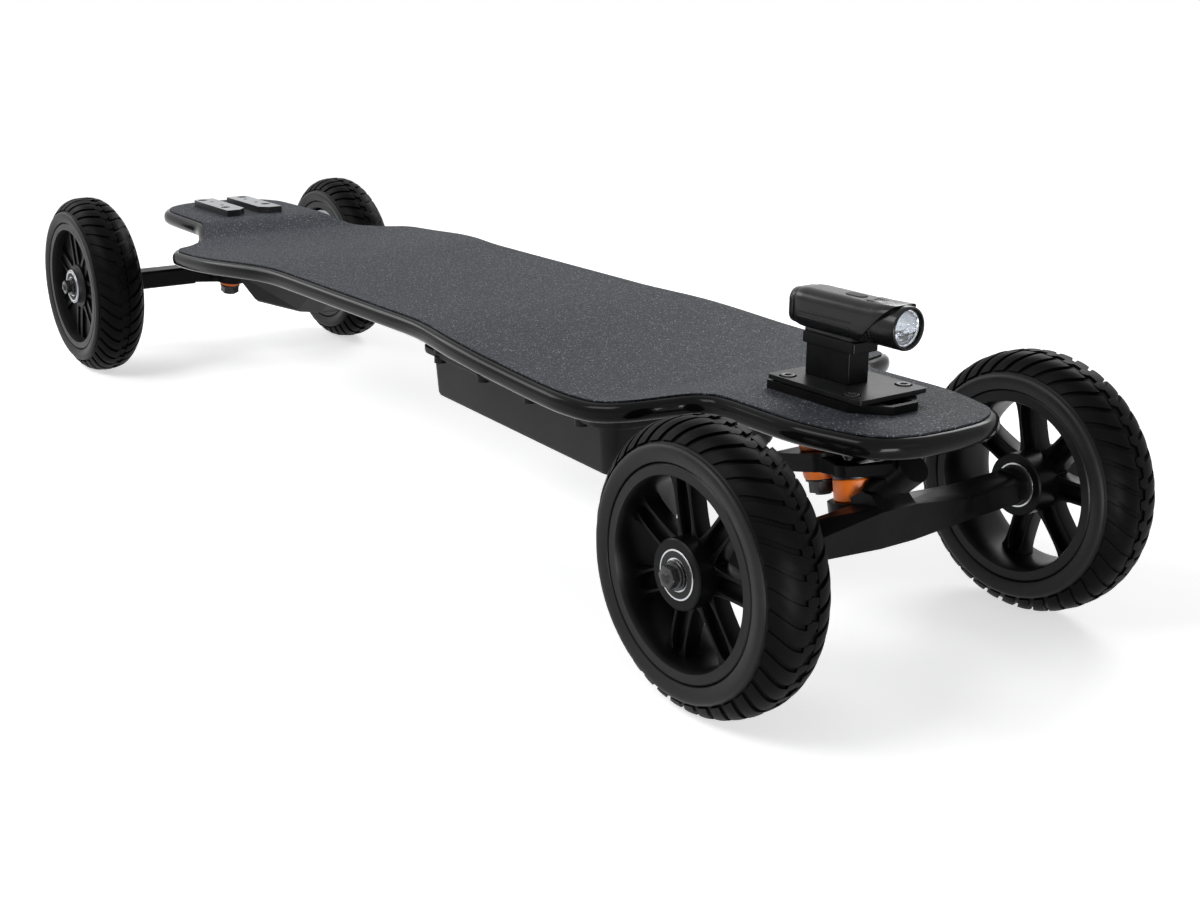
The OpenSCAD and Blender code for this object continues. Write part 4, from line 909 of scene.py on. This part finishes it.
def nutAndWasher(settings):
    face, bore = settings["face"], settings["bore"]
    radius, thick = settings["washer"]
    seat = face + thick
    washer = turned("washer", [(bore, face), (radius - 0.3, face), (radius, face + 0.3), (radius, seat - 0.3),
                               (radius - 0.3, seat), (bore, seat)], 48)
    radius, thick = settings["flange"]
    top = seat + thick
    flange = turned("flange", [(bore, seat), (radius, seat), (radius, seat + 0.6), (radius - 1.2, top + 0.3),
                               (bore, top + 0.3)], 48)
    return joined([washer, flange, hexagon(settings["across"], top, top + settings["height"], 0.6, 3)], "axleNut")


for end in ends:
    pair = []
    for side in sides:
        nut = nutAndWasher(axleNut)
        byEnd, bySide = axleNut["turn"]
        spin = Matrix.Rotation(math.radians(byEnd * ends[end] + bySide * sides[side]), 4, "Z")
        nut.data.transform(axlePlace(end, side) @ spin)
        pair.append(nut)
    standFor(joined(pair, "axleNuts"), end + "_axle_nuts")

# Screws

truckBolt = {
    "head": (4.25, 3.5),  # radius and height
    "socket": (4.0, 2.2),  # across its flats, and depth
    "shank": (2.5, 120.2, 152.0),  # radius, lowest and highest point
    "nut": (8.0, 3.4),  # across its flats, and height
    "inset": 36.5,  # of the pattern's middle from the axle
    "pattern": (53, 41.3),
    "plateBottom": 126.0,
    "seats": {"front": 155.5, "rear": 151.5},
}


def socketHead(settings):
    # Its seat is at height 0 and its hexagonal socket points up
    radius, height = settings["head"]
    across, depth = settings["socket"]
    head = column(36, radius, 0, height)
    inEditMode(head, lambda: bpy.ops.mesh.select_all(action="DESELECT"))
    for face in head.data.polygons:
        face.select = face.normal.z > 0.9
    pick(head)
    bpy.ops.object.mode_set(mode="EDIT")
    bpy.ops.mesh.select_mode(type="FACE")
    bpy.ops.mesh.inset(thickness=radius * 0.12 * mm, depth=0.0)
    bpy.ops.mesh.inset(thickness=(radius * 0.88 - across / 2 * 1.16) * mm, depth=0.0)
    bpy.ops.object.mode_set(mode="OBJECT")
    for face in head.data.polygons:
        if face.select:
            for index in face.vertices:
                vertex = head.data.vertices[index]
                angle = math.atan2(vertex.co.y, vertex.co.x)
                reach = across / 2 * mm / math.cos((angle % (math.pi / 3)) - math.pi / 6)
                vertex.co.x, vertex.co.y = reach * math.cos(angle), reach * math.sin(angle)
    bpy.ops.object.mode_set(mode="EDIT")
    bpy.ops.mesh.extrude_region_move(TRANSFORM_OT_translate={"value": (0, 0, -depth * mm)})
    bpy.ops.object.mode_set(mode="OBJECT")
    softenEdges(head, 0.22 * mm, 2, 50)
    return head


def lockNut(settings):
    across, height = settings["nut"]
    bore = settings["shank"][0]
    wide, narrow = across * 0.43, across * 0.40
    collar = turned("collar", [(bore + 0.2, height - 0.4), (wide, height - 0.4), (wide, height + 0.7),
                               (narrow, height + 1.1), (bore + 0.9, height + 1.1), (bore + 0.2, height + 0.6)], 36)
    return joined([hexagon(across, 0, height, 0.5, 2), collar], "lockNut")


def truckBolts(settings):
    shank = column(24, *settings["shank"])
    softenEdges(shank, 0.3 * mm, 2, 50)
    head, nut = socketHead(settings), lockNut(settings)
    along, across = settings["pattern"]
    parts = []
    for end, seat in settings["seats"].items():
        for alongSign, acrossSign in ((-1, -1), (-1, 1), (1, -1), (1, 1)):
            x = ends[end] * (wheelSize["wheelbase"] / 2 - settings["inset"] + alongSign * along / 2)
            y = acrossSign * across / 2
            turn = Matrix.Rotation(math.radians(13 * alongSign + 29 * acrossSign), 4, "Z")
            flipped = Matrix.Rotation(math.pi, 4, "X") @ turn
            for form, z, spin in ((head, seat, turn), (shank, 0, turn), (nut, settings["plateBottom"], flipped)):
                parts.append(copyOf(form, "boltPart", Matrix.Translation((x * mm, y * mm, z * mm)) @ spin))
    dropForms(head, shank, nut)
    return joined(parts, "bolts")


print("screws")
standFor(truckBolts(truckBolt), "truck_bolts")

# Headlight

lightForm = {
    "height": 197.5,  # of the axis above the ground
    "section": (26.4, 24.0, 7.5),  # width, height and corner radius of the shell
    # distances along the board, with the shares of width and height there
    "stations": ((388.5, 0.93, 0.92), (391, 0.98, 0.97), (396, 1.0, 1.0), (440, 1.0, 1.0), (452, 1.015, 1.04),
                 (467.2, 1.015, 1.09)),
    "slantTop": (465.5, 13.0),  # the slanted front of the shell, from its visor down
    "slantLow": (442.0, -12.0),
    "sideRib": (43, 0.5, 1.1),
    "ribPlace": (415, 13.25),
    "ribHeights": (-1.2, -4.6),  # from the axis
    "fins": (443.6, 446.6, 449.6),
    "fin": (6.0, 12.9, 0.6),  # inner and outer radius and half thickness
    "foot": ((39, 18, 2.6), (415, -12.4), 0.6),  # size, place and bevel
    "strip": ((12, 12.5, 0.35), (447, 12.35), 0.15),
    "bezel": (450.0, 469.4, 12.75, 10.45),  # from, to, outer and inner radius
}


def shellAlong(section, stations, height):
    # A rounded rectangle pushed along the board and scaled at each station
    width, tall, radius = (value * mm for value in section)
    bpy.ops.mesh.primitive_plane_add(size=1, rotation=(0, math.pi / 2, 0))
    shell = bpy.context.object
    bpy.ops.object.transform_apply(rotation=True)
    for vertex in shell.data.vertices:
        vertex.co = (stations[0][0] * mm, vertex.co.y * width, vertex.co.z * tall + height * mm)

    def work():
        bpy.ops.mesh.bevel(offset=radius, segments=10, affect="VERTICES")
        bpy.ops.mesh.select_all(action="SELECT")
        last, wide, high = stations[0][0], 1.0, 1.0
        for x, nextWide, nextHigh in stations:
            if x > last:
                step = ((x - last) * mm, 0, 0)
                bpy.ops.mesh.extrude_region_move(TRANSFORM_OT_translate={"value": step})
            bpy.ops.transform.resize(value=(1, nextWide / wide, nextHigh / high),
                                     center_override=(x * mm, 0, height * mm))
            last, wide, high = x, nextWide, nextHigh
        bpy.ops.mesh.select_all(action="SELECT")
        bpy.ops.mesh.fill_holes(sides=0)
        bpy.ops.mesh.select_all(action="SELECT")
        closeUp()

    inEditMode(shell, work)
    return shell


def discAlong(profile, height, steps=72):
    # A profile of (radius, distance along the board) spun round the light's axis
    piece = turned("disc", profile, steps)
    piece.data.transform(Matrix.Translation((0, 0, height * mm)) @ Matrix.Rotation(math.pi / 2, 4, "Y"))
    return piece


def lightBody(settings):
    height = settings["height"]
    shell = shellAlong(settings["section"], settings["stations"], height)
    topX, topZ = settings["slantTop"]
    lowX, lowZ = settings["slantLow"]

    def slant():
        bpy.ops.mesh.bisect(plane_co=(topX * mm, 0, (height + topZ) * mm), plane_no=(topZ - lowZ, 0, lowX - topX),
                            use_fill=True, clear_outer=True)

    inEditMode(shell, slant)
    softenEdges(shell, 0.5 * mm, 2, 50)
    parts = [shell]
    along, reach = settings["ribPlace"]
    for rise in settings["ribHeights"]:
        parts += [softBox(settings["sideRib"], (along, side * reach, height + rise), 0.2) for side in (-1, 1)]
    inner, outer, half = settings["fin"]
    for x in settings["fins"]:
        parts.append(discAlong([(inner, x - half), (outer - 0.5, x - half), (outer, x - half / 2),
                                (outer, x + half / 2), (outer - 0.5, x + half), (inner, x + half)], height))
    for part in ("foot", "strip"):
        size, (x, rise), bevel = settings[part]
        parts.append(softBox(size, (x, 0, height + rise), bevel))
    return joined(parts, "lightBody")


def lightBezel(settings):
    low, high, outer, inner = settings["bezel"]
    return discAlong([
        (inner + 0.2, low), (outer - 0.6, low), (outer, low + 0.6), (outer, high - 1.6), (outer - 0.35, high - 0.5),
        (outer - 1.0, high), (inner + 0.75, high), (inner + 0.35, high - 0.4), (inner, high - 1.6), (inner, low + 1)
    ], settings["height"], 96)


print("headlight")
standFor(lightBody(lightForm), "light_body", 40)
standFor(lightBezel(lightForm), "light_bezel", 40)

# Solids that keep their form: softened edges, smooth curves

softened = {
    # node: (bevel in mm, its segments, the angle from which it takes an edge, shading angle)
    "riser_pads": (0.4, 2, 40, 35),
    "battery_tub": (0.5, 2, 35, 40),
    "battery_lid": (0.5, 2, 35, 40),
    "controller_cover": (0.9, 3, 25, 40),
    "rear_rails": (0.4, 2, 35, 35),
    "light_block": (0.6, 2, 35, 35),
    "light_plate": (0.4, 2, 35, 35),
    "light_post": (0.5, 2, 35, 35),
    "light_tail_cap": (0.0, 2, 35, 45),
    "light_button": (0.5, 3, 40, 35),
    "light_led": (0.3, 2, 40, 35),
    "battery_cells": (0.6, 2, 40, 35),
    "battery_board": (0.3, 2, 40, 35),
    "controller_board": (0.4, 2, 40, 35),
    "box_screws": (0.3, 2, 40, 35),
    "charge_socket": (0.3, 2, 40, 35),
    "charge_cap": (0.3, 2, 40, 35),
    "power_button": (0.5, 2, 40, 35),
}
softenedTruck = {
    "baseplate": (0.5, 2, 35, 35),
    "link": (0.6, 2, 35, 40),
    "hanger": (0.4, 2, 30, 40),
    "inner_bushings": (1.0, 3, 40, 50),
    "outer_bushings": (1.2, 3, 40, 50),
    "inner_kingpin": (0.3, 2, 40, 35),
    "outer_kingpin": (0.3, 2, 40, 35),
}
softenedWheel = {"bearings": (0.25, 2, 40, 35), "rim": (0.5, 2, 40, 35), "motor_can": (0.8, 3, 40, 35)}
for end in ends:
    softened.update({f"{end}_{part}": values for part, values in softenedTruck.items()})
    for side in sides:
        wheelParts = softenedWheel if end == "rear" else ("bearings",)
        softened.update({f"{end}_{side}_{part}": softenedWheel[part] for part in wheelParts})

print("softened solids")
for node in ("deck_board", "grip_tape"):
    refined(node, merged=0)
for node, (bevel, segments, bevelAngle, shading) in softened.items():
    refined(node, bevel, segments, bevelAngle, shading)
